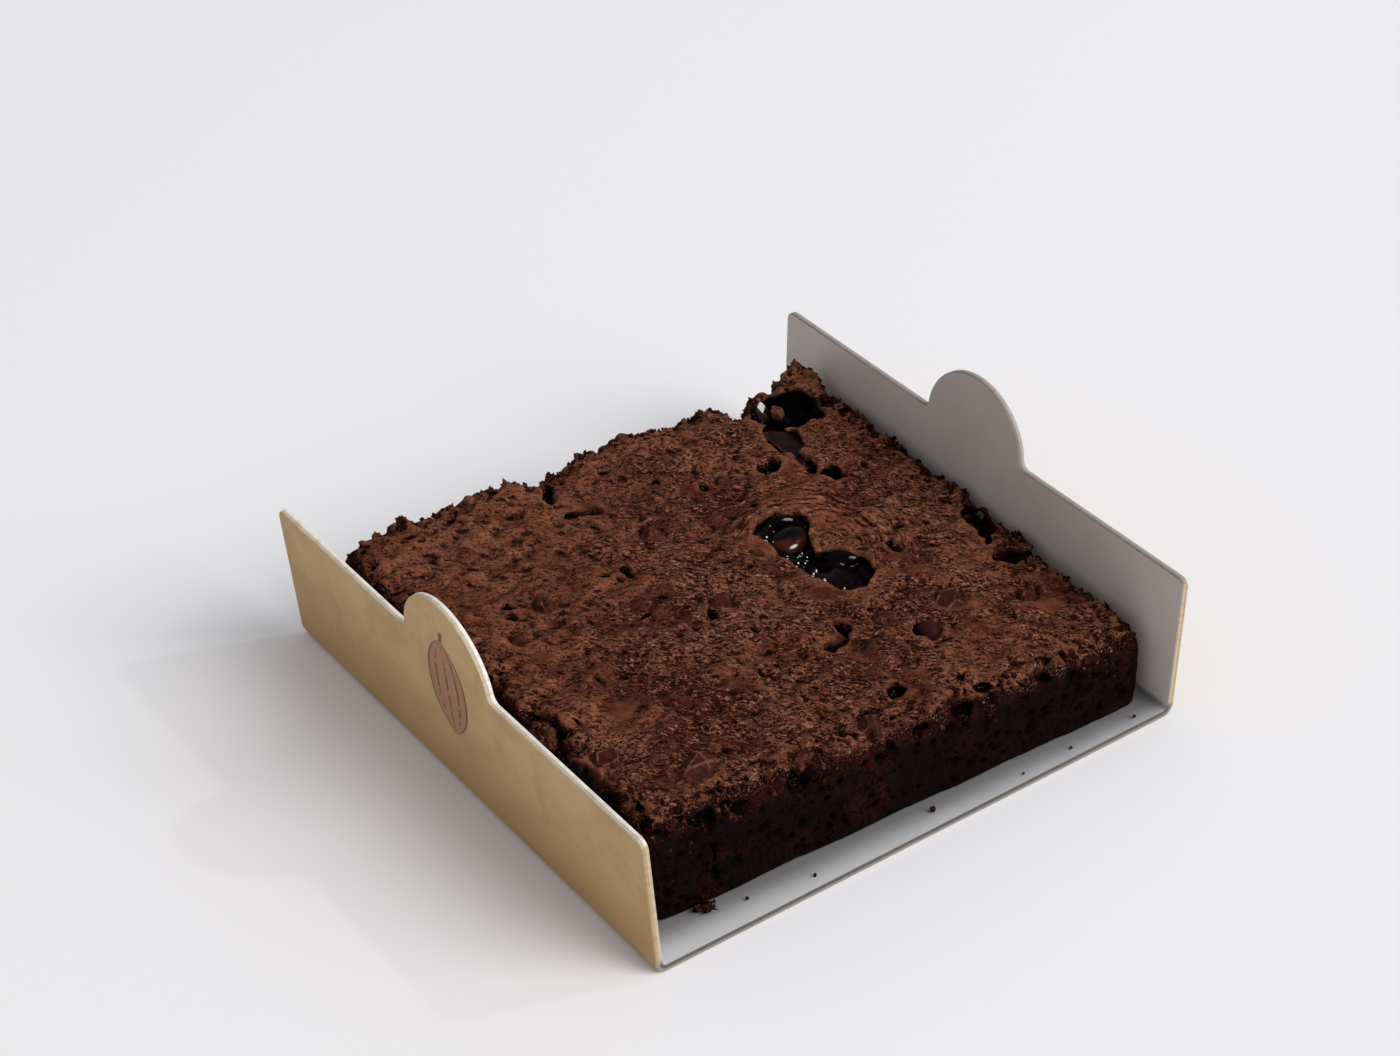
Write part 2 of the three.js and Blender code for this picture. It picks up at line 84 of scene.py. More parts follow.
# Hollows torn in the crust: x, y, half sizes, turn about Z, depth of the middle below the crust
HOLLOWS = [
    (-9.5, 27, (3.2, 1.9, 3.4), -36, 1), (-10.4, 36, (1, 3.8, 2.6), -36, 0.4),
    (-19, 32.5, (2.4, 1.2, 1.8), 10, 0.2), (-35, 35.5, (1.7, 0.8, 1.5), 30, 0.2),
    (-35, 10.5, (1.5, 1.5, 3), 0, 1), (-17, 11.2, (1.3, 1.1, 1.6), 0, 0.2),
    (-13, 10.8, (0.8, 1.7, 1.8), 0, 0.3), (-8, -5.4, (1.6, 0.9, 1.8), 45, 0.3),
    (24, 21.5, (1.9, 1.6, 2.4), 20, 0.6), (11, 22.5, (1.3, 1.1, 1.8), 0, 0.3),
    (44, 32, (1.5, 1.5, 2), 0, 0.8), (43.8, -8, (2.5, 4.8, 3.6), -20, 0.9),
    (41.8, -18, (3.1, 2.4, 3.4), -20, 0.7), (26.5, -6.5, (1.1, 1.6, 1.8), 0, 0.3),
    (3.5, -21.6, (2, 0.9, 1.9), 12, 0.4), (6.8, -19, (0.9, 1.8, 1.8), -10, 0.4),
    (4.2, -35, (1.5, 1.4, 2.4), 0, 0.6), (31.3, -31.6, (0.7, 1.9, 1.5), 15, 0.2),
    (10.5, -42.2, (2, 1.3, 2.2), 20, 1.4), (-45.8, -14.6, (3.5, 4.4, 4), 0, 1.2),
    (-47.8, -25, (1.6, 4.4, 2.6), 0, 0.6), (-46.5, -32, (1.7, 2, 3), 0, 2),
    (-47, -3, (1.8, 4, 3.6), -8, 2.4),
]

# Torn pits in the cut front, under the crust: x, z, half sizes
FRONT_PITS = [
    (-36.5, 16.4, (2.1, 2.2, 1.7)), (-30, 16, (2.4, 2.6, 1.3)), (-19.5, 16, (1.5, 1.8, 1.4)),
    (-13, 15.8, (1.4, 2.4, 2)), (-4, 14.4, (2, 1.8, 1.7)), (1.8, 15, (1.2, 1.6, 1.2)),
    (16, 14.2, (1.9, 1.6, 1)), (33, 12.4, (2.4, 1.6, 0.9)), (-34.6, 8, (0.6, 1, 2.6)),
]

# Lumps of chopped chocolate: x, y, half sizes, turn about Z, how far each stands proud
CHUNKS = [
    (-32, -33.5, (4.2, 3, 2.6), 15, 0.9), (-41, -24.6, (2.6, 2.8, 2.2), -20, 0.7),
    (-28.4, 11, (2.2, 2.8, 2.2), -25, 0.7), (-36.4, 5.4, (1.7, 2.4, 1.8), -30, 0.6),
    (-3.9, -38.6, (2.6, 2, 2), 35, 0.7), (26.4, -21.6, (3.4, 2.6, 2.2), 20, 0.7),
    (14, -20.6, (2.6, 2.3, 2), -15, 0.6), (37.7, -27, (2.2, 1.7, 1.9), 30, 0.8),
    (7.5, -24.8, (1.9, 1.4, 1.6), 10, 0.7), (-5, -3.6, (2.4, 1.7, 1.8), 30, 0.7),
    (15, 22.6, (2.1, 1.4, 1.6), 0, 0.5), (-3.4, 17, (2.4, 1.9, 1.8), 15, 0.5),
    (-17.6, -39.6, (2.2, 1.5, 1.8), 25, 0.5),
]
DROP_PLACE = (18, -26.2)
DROP_SIZE = (2, 2, 2.1)
DROP_PROUD = 1.2

# Molten middle
POOL_MIDDLE = (14.5, -1)
POOL_BOTTOM = 13.5
POOL_VOXEL = 0.17
POOL_TRIANGLES = 90000
POOL_LUMP = (14.8, 4.7, (4.2, 3, 2.2), 4)

# Dome and folds of the pool: x, y, depth of the middle below the crust, half sizes, turn, blend
POOL_FOLDS = [
    (18.6, -3.9, 1.5, (2.9, 1.3, 1.3), -36, 0.6), (15.6, -6.6, 3.2, (1.7, 3, 2), -36, 1.4),
    (16.6, 9.2, 1.5, (2.8, 1.1, 1.6), -20, 0.9), (12.6, 8.4, 1.6, (1.7, 0.9, 1.3), 30, 0.8),
    (18.9, 6.6, 1.8, (1, 1.6, 1.4), 0, 0.8),
]

# Rim of the hole over the molten middle, as x and y
POOL_RIM = [
    (10.6, 8.6), (12.4, 9.7), (14.4, 10.4), (16.7, 10.6), (18.3, 9.4), (19.3, 8.3), (19.8, 7), (19.4, 5.1),
    (17.7, 3.4), (15.9, 0.3), (15.4, -1.4), (16.4, -1.9), (18.3, -2.6), (19.8, -3.9), (20.1, -5.1),
    (21.2, -6.1), (21.4, -7.4), (21, -9.8), (18.4, -11.8), (15.8, -12.6), (13.4, -12.6),
    (12.6, -11.2), (12.2, -10), (11.2, -8.8), (10.5, -6.6), (10.3, -3.9), (10.6, -1.4), (10.5, 0.8),
    (10.2, 2.4), (10.6, 4.9), (10.4, 6.2), (9.2, 7.6),
]
# Bubbles along the pool's near rim: x, y, radius
BUBBLES = [
    (11.8, -1.2, 0.66), (13.1, -1.4, 0.55), (13, -4.3, 0.6), (11.7, -5.2, 0.7), (12.6, -6.9, 0.6),
    (14.2, -9.9, 0.66), (11.4, 6.5, 0.66), (11.8, 5.2, 0.55), (14.3, 0.9, 0.6), (14.4, -0.3, 0.5),
    (11.5, -3.2, 0.4), (11.6, 1.2, 0.45), (12.9, 0.2, 0.4), (12.2, -8.6, 0.45), (16.2, -11, 0.5),
]

# Torn back corner: x, y, z and half sizes
CAVE = [
    (36.6, 33.2, 15.8, (6.6, 5.8, 6.5)), (36.8, 40, 16.2, (1.5, 3.4, 1.4)), (31, 27, 17, (3, 5, 5)),
    (29.8, 19.5, 18, (1.1, 3.2, 2.8)), (31.3, 14.8, 17.6, (2, 2, 2.8)),
]
# Height under which the cave's chocolate has melted
CAVE_MELT = 16.6
# Shards of chocolate in the cave, as the corners of each
SHARD_CORNERS = [
    [(29, 31, 18), (35.4, 27.6, 17.4), (28.9, 18.4, 17.8), (30.6, 18.8, 17), (31, 32.5, 12.5),
     (36.8, 31, 12.5), (30, 19, 13.5), (33.4, 22.6, 16.4), (32.2, 31.4, 17)],
    [(34, 34.4, 18.6), (35.4, 33, 17.6), (36.6, 33.6, 17.4), (36.8, 34.8, 18.2), (35.2, 35.4, 18.9),
     (34.6, 34.4, 15), (36.2, 34, 11), (35.4, 33.8, 11)],
    [(32.3, 36.2, 19.1), (33, 35.3, 18.2), (34.3, 35.9, 18.8), (33.6, 36.9, 19.8), (34.6, 34.6, 16.4),
     (32.4, 34.9, 16.6), (32.6, 36, 11.6), (34.2, 35.8, 11.6), (33.4, 36.8, 11.4)],
]
# Where melted chocolate coats the crumb: x, y, z, half sizes
WET_PLACES = [
    (-47, -25.6, 19, (2, 4.4, 2.4)), (36.6, 33.2, 15.6, (7.6, 6.9, 7.4)),
    (31, 26, 16.4, (3.6, 6, 4.4)), (31, 16.5, 17, (2.2, 4.4, 3.4)),
]

# Soft streaks of melted chocolate on the crust: x, y, half sizes, turn, strength
SMEARS = [
    (8.2, 4.4, (2.6, 4.2), -12, 0.6), (9.4, -11.2, (4.6, 2), -32, 0.9), (38.6, -31.5, (5.4, 3), -35, 0.6),
    (26, -13.5, (3.6, 2.6), -30, 0.7), (-33, -17, (3.4, 2.2), 10, 0.7), (-36, 0, (2, 2.8), 20, 0.7),
    (-46.2, -25.2, (2.2, 4.4), 20, 1), (26, -24, (5, 3), -35, 0.6),
]

# Star-shaped crumbs that stand on the back edge: x, y, size
BACK_CRUMBS = [
    (-40, 40.6, 0.8), (-35, 41.4, 0.9), (-31, 41, 0.6), (-26, 40.6, 0.6), (-18, 41.2, 0.9),
    (-15.5, 41, 0.7), (-8, 40, 0.7), (-1, 41, 0.9), (3, 41, 0.6), (9, 41, 0.6), (16, 41.2, 0.9),
    (21, 41.4, 0.8), (24, 41, 0.6), (33, 39.6, 0.7), (40, 40.6, 0.8), (44, 40.8, 0.8),
]

# Crumbs that have fallen: x, y, z, size
LOOSE_CRUMBS = [
    (-37, -43.6, 2.2, 1), (-35.8, -43, 1.7, 0.6), (-38.4, -42.9, 1.9, 0.7), (3.2, -46, 1.8, 0.6),
    (43, -47.4, 1.6, 0.35), (30, -47.2, 1.5, 0.25), (-20, -46.8, 1.5, 0.3), (49.4, 1.5, 26.4, 0.45),
    (49.5, -1.6, 26.3, 0.3), (49.4, -3.2, 26.3, 0.2), (-31, -45, 1.5, 0.3), (20, -47.5, 1.5, 0.2),
]

# Heap of crumbs in the hollow of the left edge: x, y, half sizes
CRUMB_HEAP = (-46, -14.8, (1.7, 2.5))

# Printed cocoa pod on the left tab: middle and half sizes, as y and z
POD_MIDDLE = (0.6, 20.8)
POD_HALF = (5.2, 9.2)

# Camera, solved from the tray's straight edges: full frame 1400 by 1056
FRAME_WIDTH_PX = 1400
FOCAL_PX = 2924.9
SENSOR_MM = 36
CAMERA_AT = (-225.3, -291.0, 289.6)
CAMERA_TURN = (54.613, -0.519, -36.567)

# Studio: the floor's reach in millimetres, the light all round, and the lamps: place in metres,
# size, watts, colour
FLOOR_REACH = 3000
AIR_COLOUR = (0.97, 0.98, 1.0, 1)
AIR_STRENGTH = 0.45
LAMPS = [
    ("window_right", (1.88, -3.53, 3.0), 4.0, 214.0, (1.0, 0.985, 0.965)),
    ("glint_right", (2.4, -0.9, 2.4), 0.16, 8.0, (1.0, 1.0, 1.0)),
]


# Shape of the slab

def ripple(x, y):
    broad = np.sin(0.42 * x + 1.3 * np.sin(0.31 * y) + 0.5) * np.cos(0.37 * y - 0.6 * np.sin(0.23 * x))
    close = np.sin(0.93 * x - 0.71 * y + 1.7) * np.sin(0.64 * x + 0.88 * y)
    return 0.42 * broad + 0.3 * close


def left_edge(y):
    return LEFT_X - 1.3 * np.exp(-((y - 26) / 16) ** 2) + 0.3 * np.sin(0.55 * y)


def right_edge(y):
    return RIGHT_X + 0.25 * np.sin(0.48 * y + 1) - 0.2 * np.sin(1.3 * y)


def front_edge(x):
    s = (x - LEFT_X) / (RIGHT_X - LEFT_X)
    return FRONT_LEFT_Y + (FRONT_RIGHT_Y - FRONT_LEFT_Y) * s + 0.12 * np.sin(26 * s + 0.8)


def back_edge(x):
    wave = 0.5 * np.sin(0.33 * x) + 0.35 * np.sin(0.9 * x + 2)
    notches = 2 * np.exp(-((x + 11.5) / 2) ** 2) + 1.8 * np.exp(-((x - 30.5) / 2.6) ** 2)
    return BACK_Y + wave - notches


def crust_height(x, y):
    s = (x - LEFT_X) / (RIGHT_X - LEFT_X)
    t = (y - FRONT_LEFT_Y) / (BACK_Y - FRONT_LEFT_Y)
    front = HEIGHT_FRONT_LEFT + (HEIGHT_FRONT_RIGHT - HEIGHT_FRONT_LEFT) * s
    back = HEIGHT_BACK_LEFT + (HEIGHT_BACK_RIGHT - HEIGHT_BACK_LEFT) * s
    crown = CROWN * (1 - (2 * s - 1) ** 2) * (1 - (2 * t - 1) ** 2)
    height = front + (back - front) * t + crown + ripple(x, y)
    for place_x, place_y, reach, rise in SWELLS:
        away = ((x - place_x) ** 2 + (y - place_y) ** 2) / reach ** 2
        height = height + rise * np.exp(-away)
    return height


def rounded_meeting(a, b, radius):
    """Depth inside two faces that meet in a round edge, from the depth inside each."""
    near_a = np.maximum(radius - a, 0)
    near_b = np.maximum(radius - b, 0)
    inside = np.minimum(a, b)
    return np.where((near_a > 0) & (near_b > 0), radius - np.hypot(near_a, near_b), inside)


def plan_depth(x, y):
    """How far a place is inside the slab's outline, seen from above."""
    across = np.minimum(x - left_edge(y), right_edge(y) - x)
    back = np.minimum(y - front_edge(x), back_edge(x) - y)
    return rounded_meeting(across, back, CORNER_ROUND)


# Volumes: a field on a block of points is positive in the cake, and openvdb skins it at zero

def share(value):
    return np.clip(value, 0, 1)


def block(low, high, step):
    return [np.arange(a, b, step) for a, b in zip(low, high)]


def grain(axes, cell, seed):
    """A smooth random field over the block, about -1 to 1, with lumps a cell across."""
    rng = np.random.default_rng(seed)
    knots = rng.uniform(-1.6, 1.6, [int((a[-1] - a[0]) / cell) + 5 for a in axes])
    for i, axis in enumerate(axes):
        at = (axis - axis[0]) / cell + 1
        low = np.floor(at).astype(int)
        f = at - low
        taps = [(1 - f) ** 3, 3 * f ** 3 - 6 * f ** 2 + 4,
                -3 * f ** 3 + 3 * f ** 2 + 3 * f + 1, f ** 3]
        weights = np.zeros((len(axis), knots.shape[i]))
        for offset, tap in enumerate(taps):
            weights[np.arange(len(axis)), low - 1 + offset] = tap / 6
        knots = np.moveaxis(np.tensordot(weights, knots, (1, i)), 0, i)
    return knots


def turned(x, y, turn):
    """The place as seen along axes turned about Z by that many degrees."""
    c, s = cos(radians(turn)), sin(radians(turn))
    return c * x + s * y, c * y - s * x


def ball_distance(x, y, z, size, turn=0.0):
    """Distance outward from a stretched ball's skin, roughly, for places seen from its middle."""
    u, v = turned(x, y, turn)
    k = np.sqrt((u / size[0]) ** 2 + (v / size[1]) ** 2 + (z / size[2]) ** 2)
    return (k - 1) * min(size)


def meld(field, axes, centre, size, turn, soft, reach, side):
    """Blends a stretched ball into the field: side 1 adds it, side -1 takes it out."""
    spans = [np.searchsorted(a, (c - r, c + r)) for a, c, r in zip(axes, centre, reach)]
    if min(stop - start for start, stop in spans) < 1:
        return
    part = tuple(slice(*span) for span in spans)
    places = np.meshgrid(*[a[s] - c for a, s, c in zip(axes, part, centre)], indexing="ij")
    lump = -ball_distance(*places, size, turn)
    here = side * field[part]
    blend = share(0.5 + 0.5 * (lump - here) / soft)
    field[part] = side * (here + (lump - here) * blend + soft * blend * (1 - blend))


def tear(field, axes, centre, size, turn=0.0, soft=0.5):
    reach = [max(size[0], size[1]) + 1.5] * 2 + [size[2] + 1.5]
    meld(field, axes, centre, size, turn, soft, reach, -1)


def stick(field, axes, centre, size, turn=0.0, soft=0.3):
    meld(field, axes, centre, size, turn, soft, [max(size) + 1] * 3, 1)


def blurred(values, cells):
    """Mean of a block's values over a cube of cells each way."""
    for i in range(3):
        padded = np.concatenate([np.take(values, [0] * (cells + 1), i), values,
                                 np.take(values, [-1] * cells, i)], i)
        total = np.cumsum(padded, i, dtype=float)
        n = values.shape[i]
        top = np.take(total, np.arange(n) + 2 * cells + 1, i)
        values = ((top - np.take(total, np.arange(n), i)) / (2 * cells + 1)).astype(np.float32)
    return values


def sampled(values, axes, points):
    """The block's values at points, read between the cells."""
    at = [(points[:, i] - axes[i][0]) / (axes[i][1] - axes[i][0]) for i in range(3)]
    low = [np.clip(np.floor(a).astype(int), 0, len(axis) - 2) for a, axis in zip(at, axes)]
    f = [a - b for a, b in zip(at, low)]
    total = 0
    for corner in range(8):
        bits = [(corner >> i) & 1 for i in range(3)]
        weight = np.prod([f[i] if bits[i] else 1 - f[i] for i in range(3)], axis=0)
        total = total + weight * values[low[0] + bits[0], low[1] + bits[1], low[2] + bits[2]]
    return total


def mesh_of(name, points, faces):
    """A mesh from points in millimetres."""
    mesh = bpy.data.meshes.new(name)
    mesh.from_pydata((np.asarray(points) * MM).tolist(), [], faces)
    mesh.update()
    return mesh


def placed(name, data):
    """A new object in the scene."""
    made = bpy.data.objects.new(name, data)
    bpy.context.scene.collection.objects.link(made)
    return made


def skinned(name, field, axes, triangles):
    """A mesh on the field's zero with at most that many triangles, and its points."""
    step = axes[0][1] - axes[0][0]
    grid = openvdb.FloatGrid(step * 3)
    grid.copyFromArray(np.clip(-field, -3 * step, 3 * step).astype(np.float32))
    points, _, quads = grid.convertToPolygons(isovalue=0.0, adaptivity=0.0)
    points = points * step + np.array([a[0] for a in axes])
    mesh = lightened(mesh_of(name, points, quads[:, ::-1].tolist()), triangles)
    keep_largest(mesh)
    points = np.empty(len(mesh.vertices) * 3)
    mesh.vertices.foreach_get("co", points)
    return mesh, points.reshape(-1, 3) / MM


def lightened(mesh, triangles):
    """The mesh with its flattest faces merged, down to that many triangles."""
    count = 2 * len(mesh.polygons)
    if count <= triangles:
        return mesh
    helper = placed("helper", mesh)
    merge = helper.modifiers.new("merge", "DECIMATE")
    merge.ratio = triangles / count
    merge.use_collapse_triangulate = True
    ready = helper.evaluated_get(bpy.context.evaluated_depsgraph_get())
    lighter = bpy.data.meshes.new_from_object(ready)
    bpy.data.objects.remove(helper)
    return lighter


def keep_largest(mesh):
    """Deletes the loose scraps that a torn field leaves in the air."""
    work = bmesh.new()
    work.from_mesh(mesh)
    unseen = set(work.verts)
    bodies = []
    while unseen:
        edge = {unseen.pop()}
        body = set(edge)
        while edge:
            edge = {link.other_vert(vert) for vert in edge for link in vert.link_edges} - body
            body |= edge
        unseen -= body
        bodies.append(body)
    bodies.sort(key=len)
    bmesh.ops.delete(work, geom=list(set().union(*bodies[:-1])), context="VERTS")
    work.to_mesh(mesh)
    work.free()


def give_values(mesh, name, values):
    attribute = mesh.attributes.new(name, "FLOAT", "POINT")
    attribute.data.foreach_set("value", np.asarray(values, np.float32))


# Shader maths

def maths(operation, reflected=False):
    """A method of Wire that adds the Math node for that operation."""
    def method(wire, *others):
        values = (*others, wire) if reflected else (wire, *others)
        settings = {"operation": operation}
        return wire.recipe.node("ShaderNodeMath", settings, dict(enumerate(values)))["Value"]
    return method


class Wire:
    """One output of a material's nodes; arithmetic on it adds the Math nodes that do it."""

    def __init__(self, recipe, socket):
        self.recipe = recipe
        self.socket = socket

    __add__ = maths("ADD")
    __radd__ = maths("ADD", reflected=True)
    __sub__ = maths("SUBTRACT")
    __rsub__ = maths("SUBTRACT", reflected=True)
    __mul__ = maths("MULTIPLY")
    __rmul__ = maths("MULTIPLY", reflected=True)
    __truediv__ = maths("DIVIDE")
    __rtruediv__ = maths("DIVIDE", reflected=True)
    __pow__ = maths("POWER")
    __rpow__ = maths("POWER", reflected=True)
    at_least = maths("MAXIMUM")
    unsigned = maths("ABSOLUTE")
    fraction = maths("FRACT")
    # The angle about Z of a place this far back and that far to the right
    bearing = maths("ARCTAN2")

    def rise(self, low, high):
        """0 below low, 1 above high, and a smooth climb between."""
        settings = {"interpolation_type": "SMOOTHSTEP"}
        sockets = {"Value": self, "From Min": low, "From Max": high}
        return self.recipe.node("ShaderNodeMapRange", settings, sockets)["Result"]


class Recipe:
    """One material being made."""

    def __init__(self, name):
        self.material = bpy.data.materials.new(name)
        self.material.use_nodes = True
        self.tree = self.material.node_tree
        self.tree.nodes.clear()

    def node(self, kind, settings=None, sockets=None):
        """Adds a node: its settings first, then its sockets, by name or by number."""
        made = self.tree.nodes.new(kind)
        for name, value in (settings or {}).items():
            setattr(made, name, value)
        for name, value in (sockets or {}).items():
            named = [socket for socket in made.inputs if socket.enabled and socket.name == name]
            target = named[0] if named else made.inputs[name]
            if isinstance(value, Wire):
                self.tree.links.new(value.socket, target)
            else:
                target.default_value = value
        return {out.name: Wire(self, out) for out in made.outputs if out.enabled}

    def value(self, name):
        return self.node("ShaderNodeAttribute", {"attribute_name": name})["Fac"]

    def vector_maths(self, operation, *values, output="Vector"):
        settings = {"operation": operation}
        return self.node("ShaderNodeVectorMath", settings, dict(enumerate(values)))[output]

    def place(self):
        """Where on the part the surface is, in millimetres."""
        return self.squeezed(self.node("ShaderNodeTexCoord")["Object"], (1 / MM,) * 3)

    def squeezed(self, place, scale):
        return self.vector_maths("MULTIPLY", place, scale)

    def shaken(self, place, size, reach):
        """The place, pushed about by up to that reach in millimetres."""
        cloud = self.node("ShaderNodeTexNoise", None, {"Vector": place, "Scale": 1 / size})
        spread, back = (2 * reach,) * 3, (-reach,) * 3
        shift = self.vector_maths("MULTIPLY_ADD", cloud["Color"], spread, back)
        return self.vector_maths("ADD", place, shift)

    def parts(self, place):
        split = self.node("ShaderNodeSeparateXYZ", None, {"Vector": place})
        return split["X"], split["Y"], split["Z"]

    def vector(self, x, y, z):
        return self.node("ShaderNodeCombineXYZ", None, {"X": x, "Y": y, "Z": z})["Vector"]

    def noise(self, place, size, detail=3.0, rough=0.55, warp=0.0):
        """Cloudy noise, 0 to 1, with lumps of that size in millimetres."""
        sockets = {"Vector": place, "Scale": 1 / size, "Detail": detail,
                   "Roughness": rough, "Distortion": warp}
        return self.node("ShaderNodeTexNoise", None, sockets)["Fac"]

    def cells(self, place, size):
        """Distance from the middle of the nearest of many cells of that size."""
        sockets = {"Vector": place, "Scale": 1 / size}
        return self.node("ShaderNodeTexVoronoi", None, sockets)["Distance"]

    def blend(self, factor, first, second):
        sockets = {"Factor": factor, "A": first, "B": second}
        return self.node("ShaderNodeMix", {"data_type": "RGBA"}, sockets)["Result"]

    def layered(self, colour, *layers):
        """The colour with others laid over it, each given as its share and its colour."""
        for cover, over in layers:
            colour = self.blend(cover, colour, over)
        return colour

    def facing(self, way):
        """How squarely the surface faces that way, -1 to 1."""
        normal = self.node("ShaderNodeNewGeometry")["Normal"]
        return self.vector_maths("DOT_PRODUCT", normal, way, output="Value")

    def bump(self, height, depth):
        """Relief of that depth in millimetres where height goes from 0 to 1."""
        sockets = {"Height": height, "Strength": 1.0, "Distance": depth * MM}
        return self.node("ShaderNodeBump", None, sockets)["Normal"]

    def surface(self, **sockets):
        named = {name.replace("_", " "): value for name, value in sockets.items()}
        return self.node("ShaderNodeBsdfPrincipled", None, named)["BSDF"]

    def finish(self, shader):
        self.node("ShaderNodeOutputMaterial", None, {"Surface": shader})
        return self.material

    def coated(self, cover, body, coat):
        """The finish of a body with a coat over that share of it."""
        sockets = {0: cover, 1: body, 2: coat}
        return self.finish(self.node("ShaderNodeMixShader", None, sockets)["Shader"])


def rgb(red, green, blue):
    """A colour read off a screen, 0 to 255, as the light it stands for."""
    return tuple(((c / 255 + 0.055) / 1.055) ** 2.4 if c > 10 else c / 3294.6
                 for c in (red, green, blue)) + (1,)


# Finishes

CRUST_BROWN = rgb(109, 61, 42)
CRUST_PALE = rgb(140, 88, 66)
CRUST_RED = rgb(76, 33, 23)
CREST_PAINTED_LIGHT = rgb(182, 124, 102)
CRUMB_RED = rgb(42, 9, 5)
CRUMB_DARK = rgb(30, 12, 10)
FUDGE = rgb(21, 7, 7)
FUDGE_RED = rgb(40, 13, 11)
PIT_PAINTED_SHADE = rgb(22, 5, 3)
HOLE_PAINTED_SHADE = rgb(9, 3, 3)
CRUMB_PINK = rgb(112, 60, 48)
MILK = rgb(63, 27, 20)
SMEAR_TAN = rgb(106, 62, 43)
LUMP_BROWN = rgb(76, 33, 24)
LUMP_RED = rgb(43, 15, 12)
RIDGE_PAINTED_HIGHLIGHT = rgb(134, 85, 64)
LUMP_FOOT = rgb(62, 27, 19)
DARK_FACE = rgb(36, 15, 16)
DARK_DEEP = rgb(22, 9, 10)
DROP_SKIN = rgb(58, 20, 18)
DROP_DEEP = rgb(36, 12, 11)
SHARD_PALE = rgb(106, 58, 50)
SHARD_RED = rgb(62, 28, 25)
SHARD_GLOSS = rgb(60, 28, 26)
SHARD_DEEP = rgb(34, 14, 14)
MOLTEN_BLACK = rgb(9, 5, 6)
MOLTEN_RED = rgb(56, 21, 13)
LIT_SIDE = (-0.06, -0.73, 0.68)
KRAFT = rgb(200, 168, 118)
KRAFT_DARK = rgb(180, 144, 97)
KRAFT_PALE = rgb(220, 194, 150)
KRAFT_PAINTED_SHADE = rgb(168, 131, 84)
CARD_WHITE = rgb(214, 202, 197)
CARD_GREY = rgb(204, 191, 185)
CARD_BASE = rgb(200, 200, 203)
CARD_PAINTED_SHADOW = rgb(96, 94, 95)
CARD_SCUFF = rgb(176, 168, 162)
CARD_EDGE = rgb(198, 183, 158)
CARD_EDGE_WHITE = rgb(238, 232, 226)
CARD_EDGE_SHADED_OUTER = rgb(166, 159, 152)
CARD_EDGE_SHADED = rgb(132, 125, 121)
FRONT_EDGE = rgb(178, 152, 112)
FRONT_EDGE_PALE = rgb(190, 176, 152)
LIP_SHADED_GREY = rgb(140, 135, 130)
LIP_PAINTED_SHADE = rgb(84, 80, 77)
CARD_FIBRE = rgb(120, 100, 78)
PRINT_ROSE = rgb(160, 108, 80)
PRINT_DARK = rgb(86, 50, 36)
FLOOR_PALE = rgb(244, 243, 246)


def drawn_out(mix, place, stretch):
    """The place with lumps made longer from front right to back left by that factor."""
    x, y, z = mix.parts(place)
    return mix.vector((x * 0.8 - y * 0.6) / stretch, x * 0.6 + y * 0.8, z)


def scaly_skin(mix, place):
    """The crust's fine relief: rows of small scales, and strands round the molten middle."""
    x, y, z = mix.parts(place)
    right = x - POOL_MIDDLE[0]
    back = y - POOL_MIDDLE[1]
    away = (right * right + back * back) ** 0.5
    ring = mix.vector(away, back.bearing(right) * 2.4, z)
    strands = mix.noise(ring, 0.54, 3, 0.6, 0.6)
    scales = mix.noise(drawn_out(mix, place, 1.8), 0.48, 3, 0.6, 1.0)
    behind = (right * 0.61 + back * 0.79).rise(-1, 6)
    strand_share = behind * (1 - away.rise(13, 22)) * 0.8
    return scales + (strands - scales) * strand_share


